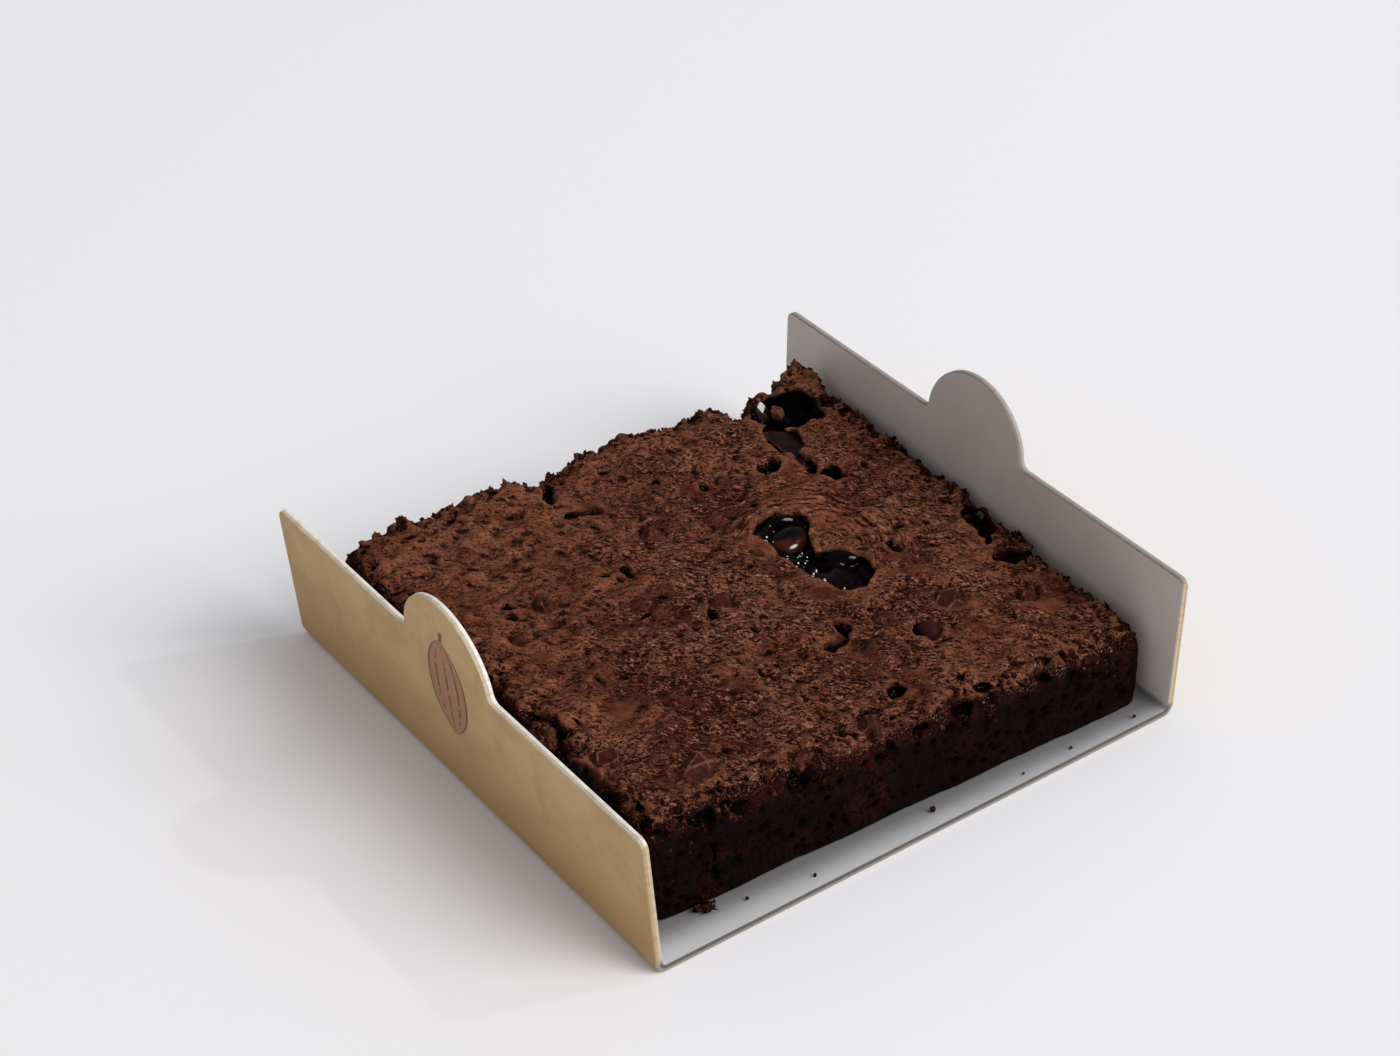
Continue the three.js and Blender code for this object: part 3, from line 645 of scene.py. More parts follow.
def crumb_finish():
    """Baked cocoa crumb: a matte tan crust of small scales, dark fudge on the cut faces,
    a wet lining where chocolate has melted, and soft milk smears."""
    mix = Recipe("baked_cocoa_crumb")
    place = mix.place()
    x, y, _ = mix.parts(place)
    marks = ("sunk", "nook", "deep_nook", "face", "smear", "wet")
    sunk, nook, deep_nook, face, smear, wet = (mix.value(mark) for mark in marks)

    stirred = mix.shaken(drawn_out(mix, place, 1.8), 0.8, 0.5)
    patch = mix.noise(place, 9, 4, 0.62, 0.6)
    crowd = mix.noise(place, 5, 3, 0.6)
    chip = mix.noise(drawn_out(mix, place, 1.5), 2.2, 5, 0.66, 0.8)
    grit = mix.noise(place, 0.3, 3, 0.6)
    scale = scaly_skin(mix, place)
    calm = (y - x).rise(8, 44) * 0.6
    rubbed = mix.noise(drawn_out(mix, place, 1.6), 7, 3, 0.5, 0.8).rise(0.5, 0.6) * 0.6
    scale = scale + (0.5 - scale) * calm.at_least(rubbed)
    pit = (1 - mix.cells(stirred, 1.15).rise(0.16, 0.4)) * crowd.rise(0.42, 0.58)
    zone = mix.noise(place, 15, 3, 0.55, 0.4)
    wide_pit = (1 - mix.cells(stirred, 2.3).rise(0.14, 0.3)) * calm.rise(0, 0.35)
    pit = pit.at_least(wide_pit * crowd.rise(0.4, 0.5))
    pinhole = 1 - mix.cells(stirred, 0.62).rise(0.14, 0.38)

    crust = mix.blend(patch.rise(0.36, 0.64), CRUST_BROWN, CRUST_PALE)
    crust = mix.layered(
        crust,
        (zone.rise(0.47, 0.6) * (0.85 - calm), CRUST_RED),
        (chip.rise(0.5, 0.66) * 0.8, CRUST_RED),
        # Painted light and shade on the scales: tan on their crests; crumb red, then near-black pit shade,
        # in the hollows between them
        (scale.rise(0.53, 0.66) * 0.75, CREST_PAINTED_LIGHT),
        (scale.rise(0.515, 0.44) * 0.95, CRUMB_RED),
        (scale.rise(0.44, 0.38) * 0.85, PIT_PAINTED_SHADE),
        (grit.rise(0.48, 0.34) * 0.5, CRUMB_RED),
    )
    inner = mix.layered(
        CRUMB_RED,
        (chip.rise(0.4, 0.64), CRUMB_DARK),
        (grit.rise(0.53, 0.62) * sunk.rise(3, 2.2) * 0.8, CRUMB_PINK),
    )
    bubble = 1 - mix.cells(mix.shaken(place, 1.2, 0.7), 1.45).rise(0.2, 0.32)
    bubble = bubble * crowd.rise(0.4, 0.5)
    fudge = mix.layered(
        FUDGE,
        (mix.noise(place, 5, 4, 0.6).rise(0.5, 0.7), FUDGE_RED),
        # Painted shade: near-black in the pores and bubbles of the cut face
        (pinhole.at_least(bubble) * 0.9, HOLE_PAINTED_SHADE),
    )
    melted = mix.layered(
        SMEAR_TAN,
        (smear.rise(0.6, 0.85), MILK),
        (smear.rise(0.9, 0.98), FUDGE_RED),
        (chip.rise(0.45, 0.6) * 0.5, CRUST_RED),
    )
    colour = mix.layered(
        crust,
        (sunk.rise(0.6, 2.2), inner),
        (face * sunk.rise(2.0, 4.5), fudge),
        (smear.rise(0.1, 0.7) * 0.9, melted),
        # Painted shade: near-black in the crust's small pits
        (pit * (1 - smear) * 0.85, PIT_PAINTED_SHADE),
        # Painted shade: near-black in the enclosed hollows, by how much solid is round each point
        (nook.rise(0.53, 0.64).at_least(deep_nook.rise(0.56, 0.7)), HOLE_PAINTED_SHADE),
        # Painted light: paler crust where a point stands open and raised
        (nook.rise(0.47, 0.37) * (1 - face) * (1 - sunk.rise(0.8, 2)) * 0.35, CRUST_PALE),
    )

    relief = scale * 0.9 + grit * 0.15 + chip * 0.4 - pit * 0.35 - pinhole * 0.12
    relief = relief - bubble * face * 0.6 + patch * face * 0.8
    normal = mix.bump(relief * (1 - smear * 0.85), 1.0)
    glint = grit.rise(0.56, 0.64) * sunk.rise(0.3, 1.4) * (1 - face)
    crumb = mix.surface(Base_Color=colour, Roughness=0.8 + grit * 0.14 - smear * 0.3,
                        Normal=normal, Specular_IOR_Level=0.04, Coat_Weight=glint * 0.5,
                        Coat_Roughness=0.22)
    lining = mix.surface(Base_Color=MOLTEN_BLACK, Roughness=0.16, Normal=mix.bump(chip, 0.3),
                         Specular_IOR_Level=0.05)
    return mix.coated(wet, crumb, lining)


def wet_skin(mix):
    """The mirror-like skin where wet chocolate is turned to the light."""
    return mix.surface(Base_Color=MOLTEN_BLACK, Roughness=0.06, Specular_IOR_Level=1.0,
                       Coat_Weight=1.0, Coat_Roughness=0.03)


def chocolate_finish(name, colour, dark, roughness, melted_below=0, glint=0):
    """Set chocolate: cloudy, with a painted highlight paler on the ridges, black where it has melted."""
    mix = Recipe(name)
    place = mix.place()
    z = mix.parts(place)[2]
    cloud = mix.noise(place, 1.8, 4, 0.6, 0.8)
    scratch = mix.noise(mix.squeezed(place, (1, 4, 2)), 0.8, 4, 0.6)
    dust = mix.noise(place, 0.4, 3, 0.7).rise(0.5, 0.64)
    tint = mix.layered(
        dark,
        (cloud.rise(0.35, 0.65), colour),
        (dust * 0.4, dark),
        # Painted highlight along the ridges
        (mix.value("ridge") * cloud.rise(0.32, 0.48) * 0.8, RIDGE_PAINTED_HIGHLIGHT),
        (z.rise(melted_below + 1, melted_below), MOLTEN_BLACK),
    )
    normal = mix.bump(cloud * 0.6 + scratch * 0.25 + dust * 0.15, 0.25)
    dull = mix.surface(Base_Color=tint, Roughness=scratch * 0.25 + roughness, Normal=normal,
                       Specular_IOR_Level=0.06)
    return mix.coated(mix.facing(LIT_SIDE).rise(0.9, 0.97) * glint, dull, wet_skin(mix))


def molten_finish():
    """Black liquid chocolate, that shines on its bubbles and on its folds."""
    mix = Recipe("molten_chocolate_gloss")
    place = mix.place()
    swirl = mix.noise(mix.squeezed(place, (1, 0.6, 1)), 2.4, 3, 0.5, 1.6)
    tint = mix.blend(swirl.rise(0.6, 0.8) * 0.3, MOLTEN_BLACK, MOLTEN_RED)
    pool = mix.surface(Base_Color=tint, Roughness=0.08 + swirl * 0.06, Normal=mix.bump(swirl, 0.08),
                       Specular_IOR_Level=0.04)
    lit = mix.facing(LIT_SIDE)
    shine = lit.rise(0.9, 0.975) * mix.value("bubble") + lit.rise(0.975, 0.998) * 0.3
    return mix.coated(shine, pool, wet_skin(mix))


def melted_lump_finish():
    """A lump half gone: red-brown at its foot, black and wet on its top."""
    mix = Recipe("melted_lump_gloss")
    place = mix.place()
    x, y, z = mix.parts(place)
    cloud = mix.noise(place, 2.4, 3, 0.5, 0.6)
    high = (z + x * 0.14 + y * 0.52 + cloud * 2).rise(22.4, 23.6)
    tint = mix.layered(LUMP_FOOT, (cloud.rise(0.4, 0.6), MOLTEN_RED), (high, MOLTEN_BLACK))
    body = mix.surface(Base_Color=tint, Roughness=0.14 + cloud * 0.08, Normal=mix.bump(cloud, 0.12),
                       Specular_IOR_Level=0.05)
    return mix.coated(mix.facing(LIT_SIDE).rise(0.988, 0.998) * 0.8, body, wet_skin(mix))


def kraft_finish():
    """Brown card: long fibres, pale and dark flecks, and a printed cocoa pod on the left tab."""
    mix = Recipe("kraft_card_outside")
    place = mix.place()
    fibre = mix.noise(mix.squeezed(place, (1, 0.3, 1)), 0.9, 5, 0.65, 0.5)
    speck = mix.noise(place, 0.45, 3, 0.6)
    cloud = mix.noise(place, 9, 4, 0.6, 0.5)
    z = mix.parts(place)[2]
    rose, line = pod_print(mix, place)
    worn = 1 - fibre.rise(0.62, 0.72) * 0.5
    tint = mix.layered(
        KRAFT,
        (cloud.rise(0.35, 0.68) * 0.7, KRAFT_DARK),
        (fibre.rise(0.52, 0.74) * 0.45, KRAFT_DARK),
        (speck.rise(0.62, 0.74) * 0.5, KRAFT_PALE),
        # Painted shade: the kraft darker towards the floor
        (z.rise(24, 0) * 0.75, KRAFT_PAINTED_SHADE),
        (rose * 0.8 * worn, PRINT_ROSE),
        (line * 0.85 * worn, PRINT_DARK),
    )
    normal = mix.bump(fibre * 0.6 + speck * 0.4, 0.06)
    return mix.finish(mix.surface(Base_Color=tint, Roughness=0.66 + speck * 0.16, Normal=normal))


def pod_print(mix, place):
    """The printed pod: where its rose fill is, and where its dark lines are."""
    x, y, z = mix.parts(place)
    across = (y - POD_MIDDLE[0]) / POD_HALF[0]
    along = (z - POD_MIDDLE[1]) / POD_HALF[1]
    on_wall = x.rise(-47, -49)
    high = along.unsigned()
    girth = (1 - high ** 2.3).at_least(0.001) ** 0.8
    reach = across.unsigned() / girth
    inside = (1 - reach.rise(0.94, 0.99)) * (1 - high.rise(0.97, 0.99)) * on_wall
    rim = reach.rise(0.86, 0.9)
    rib = ((across / girth * 1.9 + 0.5).fraction() - 0.5).unsigned()
    broken = mix.noise(place, 1.3, 3, 0.6).rise(0.42, 0.52)
    ribs = (1 - rib.rise(0.05, 0.13)) * broken
    stalk_away = (across + (along - 1) * 0.5).unsigned()
    stalk = (1 - stalk_away.rise(0.05, 0.12)) * along.rise(0.95, 0.99) * (1 - along.rise(1.17, 1.2))
    return inside, (inside * rim.at_least(ribs)).at_least(stalk * on_wall)


def white_card_finish():
    """White coated card, with a painted shadow that greys it where the cake's cut front stands on it."""
    mix = Recipe("coated_card_inside")
    place = mix.place()
    cloud = mix.noise(place, 10, 3, 0.5)
    tooth = mix.noise(place, 0.8, 3, 0.6)
    scuff = mix.noise(mix.squeezed(place, (1, 0.35, 1.6)), 2.6, 5, 0.7, 0.8).rise(0.6, 0.75)
    x, y, z = mix.parts(place)
    low = z.rise(2.4, 1.5)
    # Painted shadow of the cake on the base strip in front of it, with a weaker one over the whole strip
    # that grows to the right
    cake_front = -43.3 - x * 0.036
    shade = (y - cake_front + cloud).rise(-6, 0.2)
    shade = shade.at_least(x.rise(-40, 60) * 0.4) * low * y.rise(-30, -38)
    tint = mix.layered(
        CARD_WHITE,
        (cloud.rise(0.3, 0.7) * 0.5, CARD_GREY),
        (scuff * 0.25, CARD_SCUFF),
        (low, CARD_BASE),
        (shade * 0.86, CARD_PAINTED_SHADOW),
    )
    roughness = 0.46 + tooth * 0.12 + scuff * 0.1
    normal = mix.bump(tooth, 0.03)
    return mix.finish(mix.surface(Base_Color=tint, Roughness=roughness, Normal=normal))


def card_edge_finish():
    """The card's cut edge: a brown ply under a white one, darker where it is cut across the
    front, with painted shade on the base's front lip and on the right wall's top edge."""
    mix = Recipe("cut_card_edge")
    place = mix.place()
    x, y, z = mix.parts(place)
    inner = mix.value("ply").rise(0.5, 0.6)
    fibre = mix.noise(mix.squeezed(place, (0.3, 0.3, 1)), 0.5, 4, 0.6)
    front_wall = mix.blend(inner, FRONT_EDGE, FRONT_EDGE_PALE)
    # Painted shade: the base's front lip a dark grey
    front_base_shaded = mix.blend(inner, LIP_SHADED_GREY, LIP_PAINTED_SHADE)
    front = mix.blend(z.rise(3, 1.5), front_wall, front_base_shaded)
    left_top = mix.blend(inner, CARD_EDGE, CARD_EDGE_WHITE)
    # Painted shade: the right wall's top edge greyer than the left's
    right_top_shaded = mix.blend(inner, CARD_EDGE_SHADED_OUTER, CARD_EDGE_SHADED)
    tint = mix.layered(
        left_top,
        (x.rise(-10, 10), right_top_shaded),
        (y.rise(-48.6, -48.9), front),
        (fibre.rise(0.4, 0.7) * 0.3, CARD_FIBRE),
    )
    normal = mix.bump(fibre, 0.08)
    return mix.finish(mix.surface(Base_Color=tint, Roughness=0.8 + fibre * 0.1, Normal=normal))


# Pieces

def dress(mesh, name, node_names, slot, *materials):
    """Puts a smooth-shaded mesh into the scene as a piece that stands for its CAD nodes."""
    piece = placed(name, mesh)
    mesh.polygons.foreach_set("use_smooth", [True] * len(mesh.polygons))
    for material in materials:
        mesh.materials.append(material)
    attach(piece, "root")
    if node_names:
        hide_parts(*node_names)


def slab_field(axes):
    """The cake as a field: rounded slab, torn hollows, crags and broken bubbles."""
    x, y, z = axes[0][:, None], axes[1][None, :], axes[2]
    top = crust_height(x, y)[:, :, None] - z
    side = np.broadcast_to(plan_depth(x, y)[:, :, None], top.shape)
    field = rounded_meeting(side, top, SHOULDER)

    shoulder = np.exp(-((side - 1.5) / 2.6) ** 2) * np.exp(-((top - 1.6) / 3) ** 2)
    crag = grain(axes, 3.2, 11) * 0.5 + grain(axes, 1.6, 12) * 0.5
    on_top = share(1 - top / 3)
    field += crag * (0.32 * share((z - FOOT) / 4) + 1.1 * shoulder + 0.3 * on_top)
    field += grain(axes, 0.85, 13) * (0.12 + 0.08 * on_top + 0.7 * shoulder)
    scatter_pores(field, axes, np.random.default_rng(7))
    for cx, cy, size, turn, proud in CHUNKS:
        moat = (size[0] + 0.5, size[1] + 0.5, proud + 0.5)
        tear(field, axes, (cx, cy, crust_height(cx, cy) + 0.15), moat, turn, 0.2)
    moat = (DROP_SIZE[0] + 0.6, DROP_SIZE[1] + 0.6, 1.2)
    tear(field, axes, (DROP_PLACE[0] - 0.4, DROP_PLACE[1], crust_height(*DROP_PLACE)), moat, 0, 0.2)

    torn = np.full(field.shape, -9.0)
    for cx, cy, cz, size in CAVE:
        stick(torn, axes, (cx, cy, cz), size, 0, 0.3)
    for hx, hy, size, turn, drop in HOLLOWS:
        stick(torn, axes, (hx, hy, crust_height(hx, hy) - drop), size, turn)
    for px, pz, size in FRONT_PITS:
        stick(torn, axes, (px, front_edge(px) + 0.4, pz), size)
    ragged = grain(axes, 2.6, 15) * 0.8 + grain(axes, 1.3, 14) * 0.7 + grain(axes, 0.8, 17) * 0.4
    torn += np.where(torn > -3, ragged, 0)
    rim = pool_rim_depth(x, y)[:, :, None] + crag * 0.3
    field = np.minimum(np.minimum(field, -torn), -np.minimum(rim, z - POOL_BOTTOM))
    return np.minimum(field, z - FOOT)


def pool_rim_depth(x, y):
    """How far each place is inside the hole's rim, seen from above."""
    nearest = np.full(np.broadcast(x, y).shape, 1e9)
    inside = np.zeros(nearest.shape, bool)
    for (ax, ay), (bx, by) in zip(POOL_RIM, POOL_RIM[1:] + POOL_RIM[:1]):
        along = ((x - ax) * (bx - ax) + (y - ay) * (by - ay)) / ((bx - ax) ** 2 + (by - ay) ** 2)
        along = share(along)
        away = np.hypot(x - ax - along * (bx - ax), y - ay - along * (by - ay))
        nearest = np.minimum(nearest, away)
        if ay != by:
            inside ^= ((ay > y) != (by > y)) & (x < ax + (y - ay) * (bx - ax) / (by - ay))
    return np.where(inside, nearest, -nearest)


def pit_crowding(x, y):
    """Where the crust's bubbles crowd together, 0 to 1: mostly to the back and the left."""
    patchy = 0.5 + 0.5 * sin(0.23 * x + 0.6 * sin(0.2 * y)) * cos(0.19 * y + 0.7)
    return patchy * (1 if 0.6 * y - x > -12 else 0.55)


def scatter_pores(field, axes, rng):
    """Small bubbles broken open in the crust and in the cut faces."""
    for _ in range(1700):
        x, y = rng.uniform(LEFT_X, RIGHT_X), rng.uniform(FRONT_RIGHT_Y, BACK_Y)
        r = 0.34 + 0.32 * rng.random() ** 3
        size = (r * rng.uniform(1.2, 2.4), r * rng.uniform(0.7, 1.1), r * 0.8)
        turn = rng.normal(-37, 30)
        if rng.random() < pit_crowding(x, y):
            tear(field, axes, (x, y, crust_height(x, y) - 0.05 * r), size, turn, 0.3)
    for _ in range(1300):
        x, y, (ox, oy) = rim_place(rng)
        z = rng.uniform(FOOT + 1.2, crust_height(x, y) - 1)
        r = 0.28 + 0.5 * rng.random() ** 3
        size = (r * rng.uniform(0.9, 1.5), r * rng.uniform(0.9, 1.5), r * rng.uniform(0.8, 1.7))
        tear(field, axes, (x - 0.1 * ox, y - 0.1 * oy, z), size, 0, 0.12)
    for _ in range(150):
        x, y, (ox, oy) = rim_place(rng)
        inward = rng.uniform(0, 3.4)
        z = crust_height(x, y) - rng.uniform(0.4, 1) * (4 - inward)
        r = rng.uniform(0.4, 1.1)
        size = (r * rng.uniform(0.8, 1.8), r * rng.uniform(0.8, 1.4), r * rng.uniform(0.5, 1))
        px, py = x - inward * ox, y - inward * oy
        if smear_share(px, py, 0) == 0:
            tear(field, axes, (px, py, z), size, rng.uniform(-30, 30), 0.5)


def rim_place(rng):
    """A random place on the outline, as x, y and the way out."""
    side = rng.integers(4)
    if side < 2:
        x = rng.uniform(LEFT_X + 1, RIGHT_X - 1)
        return (x, front_edge(x), (0, -1)) if side else (x, back_edge(x), (0, 1))
    y = rng.uniform(FRONT_RIGHT_Y + 2, BACK_Y - 1)
    return (left_edge(y), y, (-1, 0)) if side == 2 else (right_edge(y), y, (1, 0))


def wet_share(points):
    """How much melted chocolate coats each point, 0 to 1: the hole's walls and the cave's foot."""
    x, y, z = points.T
    coat = share(1.1 + pool_rim_depth(x, y) / 0.35) * (np.hypot(x - 14, y + 2) < 14)
    for cx, cy, cz, size in WET_PLACES:
        away = ball_distance(x - cx, y - cy, z - cz, size)
        coat = np.maximum(coat, share(0.4 - away / 0.8))
    return coat


def smear_share(x, y, ragged):
    """How strongly chocolate is smeared on the crust, 0 to 1, with edges as ragged as given."""
    total = 0 * x
    for sx, sy, size, turn, strength in SMEARS:
        u, v = turned(x - sx, y - sy, turn)
        inside = 1 - np.hypot(u / size[0], v / size[1]) + 0.4 * ragged
        total = np.maximum(total, share(2 * inside) * strength)
    return total


def slab_piece():
    axes = block((-49.6, -47, 0.1), (49.6, 45.5, 25.5), VOXEL)
    field = slab_field(axes)
    mesh, points = skinned("brownie_crumb", field, axes, CAKE_TRIANGLES)
    px, py, pz = points.T
    solid = (field > 0).astype(np.float32)
    # How enclosed each point is, the blurred share of solid round it: used for painted shade in hollows
    # and painted light on open places
    for name, reach in (("nook", 1.3), ("deep_nook", 3.4)):
        give_values(mesh, name, sampled(blurred(solid, round(reach / VOXEL)), axes, points))
    inward = plan_depth(px, py)
    sunk = crust_height(px, py) - pz
    torn = sampled(grain(axes, 2.6, 16), axes, points)
    give_values(mesh, "sunk", sunk + 1.5 * share((2.6 - inward) / 1.6 + torn * 0.9))
    give_values(mesh, "face", share((3.2 - inward) / 2) * share((sunk - 2) / 2))
    give_values(mesh, "smear", smear_share(px, py, torn) * share(3 - sunk))
    give_values(mesh, "wet", wet_share(points) * share((sunk - 0.35) / 0.4))
    finish = crumb_finish()
    dress(mesh, "brownie_crumb", ["brownie_slab"], "cocoa_crumb", finish)
    crumb_piece(points, [face.vertices[:] for face in mesh.polygons], finish)


# Crumbs

def landing(tree, start, way):
    """Where a line from outside first meets the cake, or None."""
    return tree.ray_cast(Vector(start), Vector(way), 16)[0]


def crumb_spots(tree, rng):
    """Places, sizes and depths of colour of the crumbs that cling to the torn rim."""
    spots = []
    for _ in range(620):
        x, y, (ox, oy) = rim_place(rng)
        inward = rng.uniform(0.3, 3.6)
        for _ in range(rng.integers(1, 5)):
            start = (x - ox * inward + rng.normal(0, 0.8), y - oy * inward + rng.normal(0, 0.8), 26)
            found = landing(tree, start, (0, 0, -1))
            if found and found[2] > 11 and smear_share(found[0], found[1], 0) < 0.3:
                size = rng.uniform(0.17, 0.4) + 0.45 * rng.random() ** 6
                spots.append((found[0], found[1], found[2] + rng.uniform(-0.2, 0.2) * size * 2, size,
                              rng.uniform(1.4, 3)))
    for _ in range(90):
        x, y, (ox, oy) = rim_place(rng)
        z = rng.uniform(FOOT + 1, crust_height(x, y) - 2)
        found = landing(tree, (x + ox * 4, y + oy * 4, z), (-ox, -oy, 0))
        if found:
            spots.append((*found, rng.uniform(0.2, 0.5), rng.uniform(3, 3.6)))
    for x, y, size in BACK_CRUMBS:
        found = landing(tree, (x, y, 28), (0, 0, -1))
        if found:
            spots.append((x, y, found[2] + size * 0.3, size, 1.2))
    heap_x, heap_y, (half_x, half_y) = CRUMB_HEAP
    for _ in range(170):
        angle, out = rng.uniform(0, 6.28), rng.random() ** 0.5
        x, y = heap_x + out * half_x * cos(angle), heap_y + out * half_y * sin(angle)
        found = landing(tree, (x, y, 26), (0, 0, -1))
        top = crust_height(heap_x, heap_y) + 0.2 - 1.6 * out ** 2
        if found and found[2] < top:
            z = rng.uniform(max(found[2], top - 2), top)
            spots.append((x, y, z, rng.uniform(0.28, 0.55), rng.uniform(0.9, 1.7)))
    for x, y, z, size in LOOSE_CRUMBS:
        spots.append((x, y, z, size, 2.2))
    return spots


def crumb_piece(cake_points, cake_faces, finish):
    """Craggy little crumbs, each its own shape, on the torn rim and on the tray."""
    rng = np.random.default_rng(21)
    tree = BVHTree.FromPolygons(cake_points.tolist(), cake_faces)
    ball = bmesh.new()
    bmesh.ops.create_icosphere(ball, subdivisions=2, radius=1)
    corners = np.array([vert.co[:] for vert in ball.verts])
    facets = np.array([[vert.index for vert in face.verts] for face in ball.faces])
    ball.free()
    points, faces, depths = [], [], []
    for x, y, z, size, depth in crumb_spots(tree, rng):
        spin = Euler(rng.uniform(0, 6.3, 3)).to_matrix()
        knobs = rng.uniform(0.5, 1.15, (len(corners), 1))
        knobs[rng.random(len(corners)) < 0.2] *= 1.5
        shape = corners * knobs * size * rng.uniform(0.7, 1.15, 3)
        faces.append(facets + len(corners) * len(points))
        points.append(shape @ np.array(spin).T + (x, y, z))
        depths.append(np.full(len(corners), depth))
    mesh = mesh_of("clinging_crumbs", np.concatenate(points), np.concatenate(faces).tolist())
    give_values(mesh, "sunk", np.concatenate(depths))
    dress(mesh, "clinging_crumbs", [], "cocoa_crumb", finish)


# Chocolate

def pool_level(x, y):
    """Height of the molten chocolate: near the crust at the front left rim, lower at the back."""
    level = crust_height(x, y) - 2.1 + 1.2 * np.exp(-((x - 10.2) / 2.2) ** 2)
    return level + 0.7 * np.exp(-((y + 13) / 2) ** 2)


def pool_piece():
    """Molten chocolate in the torn middle: black and wavy, with a smooth dome and folds under
    the back rim, and a string of bubbles along the front left rim."""
    axes = block((7, -15.5, 12), (23.5, 13, 20.8), POOL_VOXEL)
    x, y, z = np.meshgrid(*axes, indexing="ij")
    level = pool_level(x, y) + grain(axes, 3.4, 31) * 0.3 + grain(axes, 1.6, 32) * 0.08
    rim = pool_rim_depth(x, y) + 0.45
    field = np.minimum(np.minimum(rim, level - z), z - POOL_BOTTOM - 0.5)
    top = crust_height(16, -3)
    for fold_x, fold_y, drop, size, turn, soft in POOL_FOLDS:
        stick(field, axes, (fold_x, fold_y, top - drop), size, turn, soft)
    rng = np.random.default_rng(5)
    bubbles = list(BUBBLES)
    for _ in range(12):
        bx, by = rng.uniform(10.8, 13.6), rng.uniform(-9.5, 6)
        bubbles.append((bx, by, 0.2 + 0.15 * rng.random()))
    balls = [((bx, by, pool_level(bx, by) + 0.15 * r), r) for bx, by, r in bubbles]
    for centre, radius in balls:
        stick(field, axes, centre, (radius,) * 3, 0, 0.1)
    mesh, points = skinned("molten_pool", field, axes, POOL_TRIANGLES)
    near_bubble = np.zeros(len(points))
    for centre, radius in balls:
        away = np.linalg.norm(points - np.array(centre), axis=1) / radius
        near_bubble = np.maximum(near_bubble, share(4.4 - 3.4 * away))
    give_values(mesh, "bubble", near_bubble)
    dress(mesh, "molten_pool", ["molten_chocolate"], "molten_chocolate", molten_finish())


def hull_lump(corners, soft):
    """A solid between the given corners, in millimetres, with softened edges."""
    work = bmesh.new()
    for corner in corners:
        work.verts.new(corner)
    hull = bmesh.ops.convex_hull(work, input=work.verts)
    unused = [item for item in hull["geom_interior"] if isinstance(item, bmesh.types.BMVert)]
    bmesh.ops.delete(work, geom=unused, context="VERTS")
    bmesh.ops.dissolve_limit(work, angle_limit=radians(12), verts=work.verts, edges=work.edges)
    bmesh.ops.bevel(work, geom=work.edges[:], offset=soft, segments=3, profile=0.5,
                    affect="EDGES", clamp_overlap=True)
    wide = [face for face in work.faces if face.calc_area() > 6 * soft ** 2]
    bmesh.ops.inset_individual(work, faces=wide, thickness=soft)
    bmesh.ops.triangulate(work, faces=work.faces[:])
    return work


def settled(work, centre=(0, 0, 0), turn=0):
    """The finished mesh of a lump made in millimetres, set in its place, its ridges marked."""
    work.transform(Matrix.Translation(Vector(centre)) @ Matrix.Rotation(radians(turn), 4, "Z"))
    work.normal_update()
    ridges = [sum(edge.calc_face_angle(0) for edge in vert.link_edges) / len(vert.link_edges)
              for vert in work.verts]
    work.transform(Matrix.Scale(MM, 4))
    mesh = bpy.data.meshes.new("lump")
    work.to_mesh(mesh)
    work.free()
    give_values(mesh, "ridge", share(np.array(ridges) * 3 - 0.4))
    return mesh


def broken_lump(centre, size, turn, seed):
    """A broken piece of chocolate: a ring of corners, a smaller tilted top and a narrow foot."""
    rng = np.random.default_rng(seed)
    corners = []
    for count, reach, height in ((6, 1.05, 0.3), (3, 0.6, 0.9), (4, 0.6, -0.9)):
        start = rng.uniform(0, 6.28)
        for k in range(count):
            angle = start + 6.28 / count * (k + rng.uniform(-0.3, 0.3))
            out = reach * rng.uniform(0.8, 1.12)
            up = height + rng.uniform(-0.15, 0.15)
            corner = (out * cos(angle), out * sin(angle), up)
            corners.append([c * s for c, s in zip(corner, size)])
    return settled(hull_lump(corners, 0.07 * min(size)), centre, turn)


def rounded_lump(centre, size, turn, seed, lumpy):
    """A half-melted piece: a smooth stretched ball with soft swells."""
    rng = np.random.default_rng(seed)
    work = bmesh.new()
    bmesh.ops.create_icosphere(work, subdivisions=4, radius=1)
    pulls = [(Vector(rng.normal(size=3)).normalized(), rng.uniform(-1, 1)) for _ in range(9)]
    for vert in work.verts:
        way = vert.co.normalized()
        swell = sum(pull * max(0, way.dot(toward)) ** 4 for toward, pull in pulls)
        vert.co = Vector(w * s for w, s in zip(way * (1 + lumpy * swell), size))
    return settled(work, centre, turn)


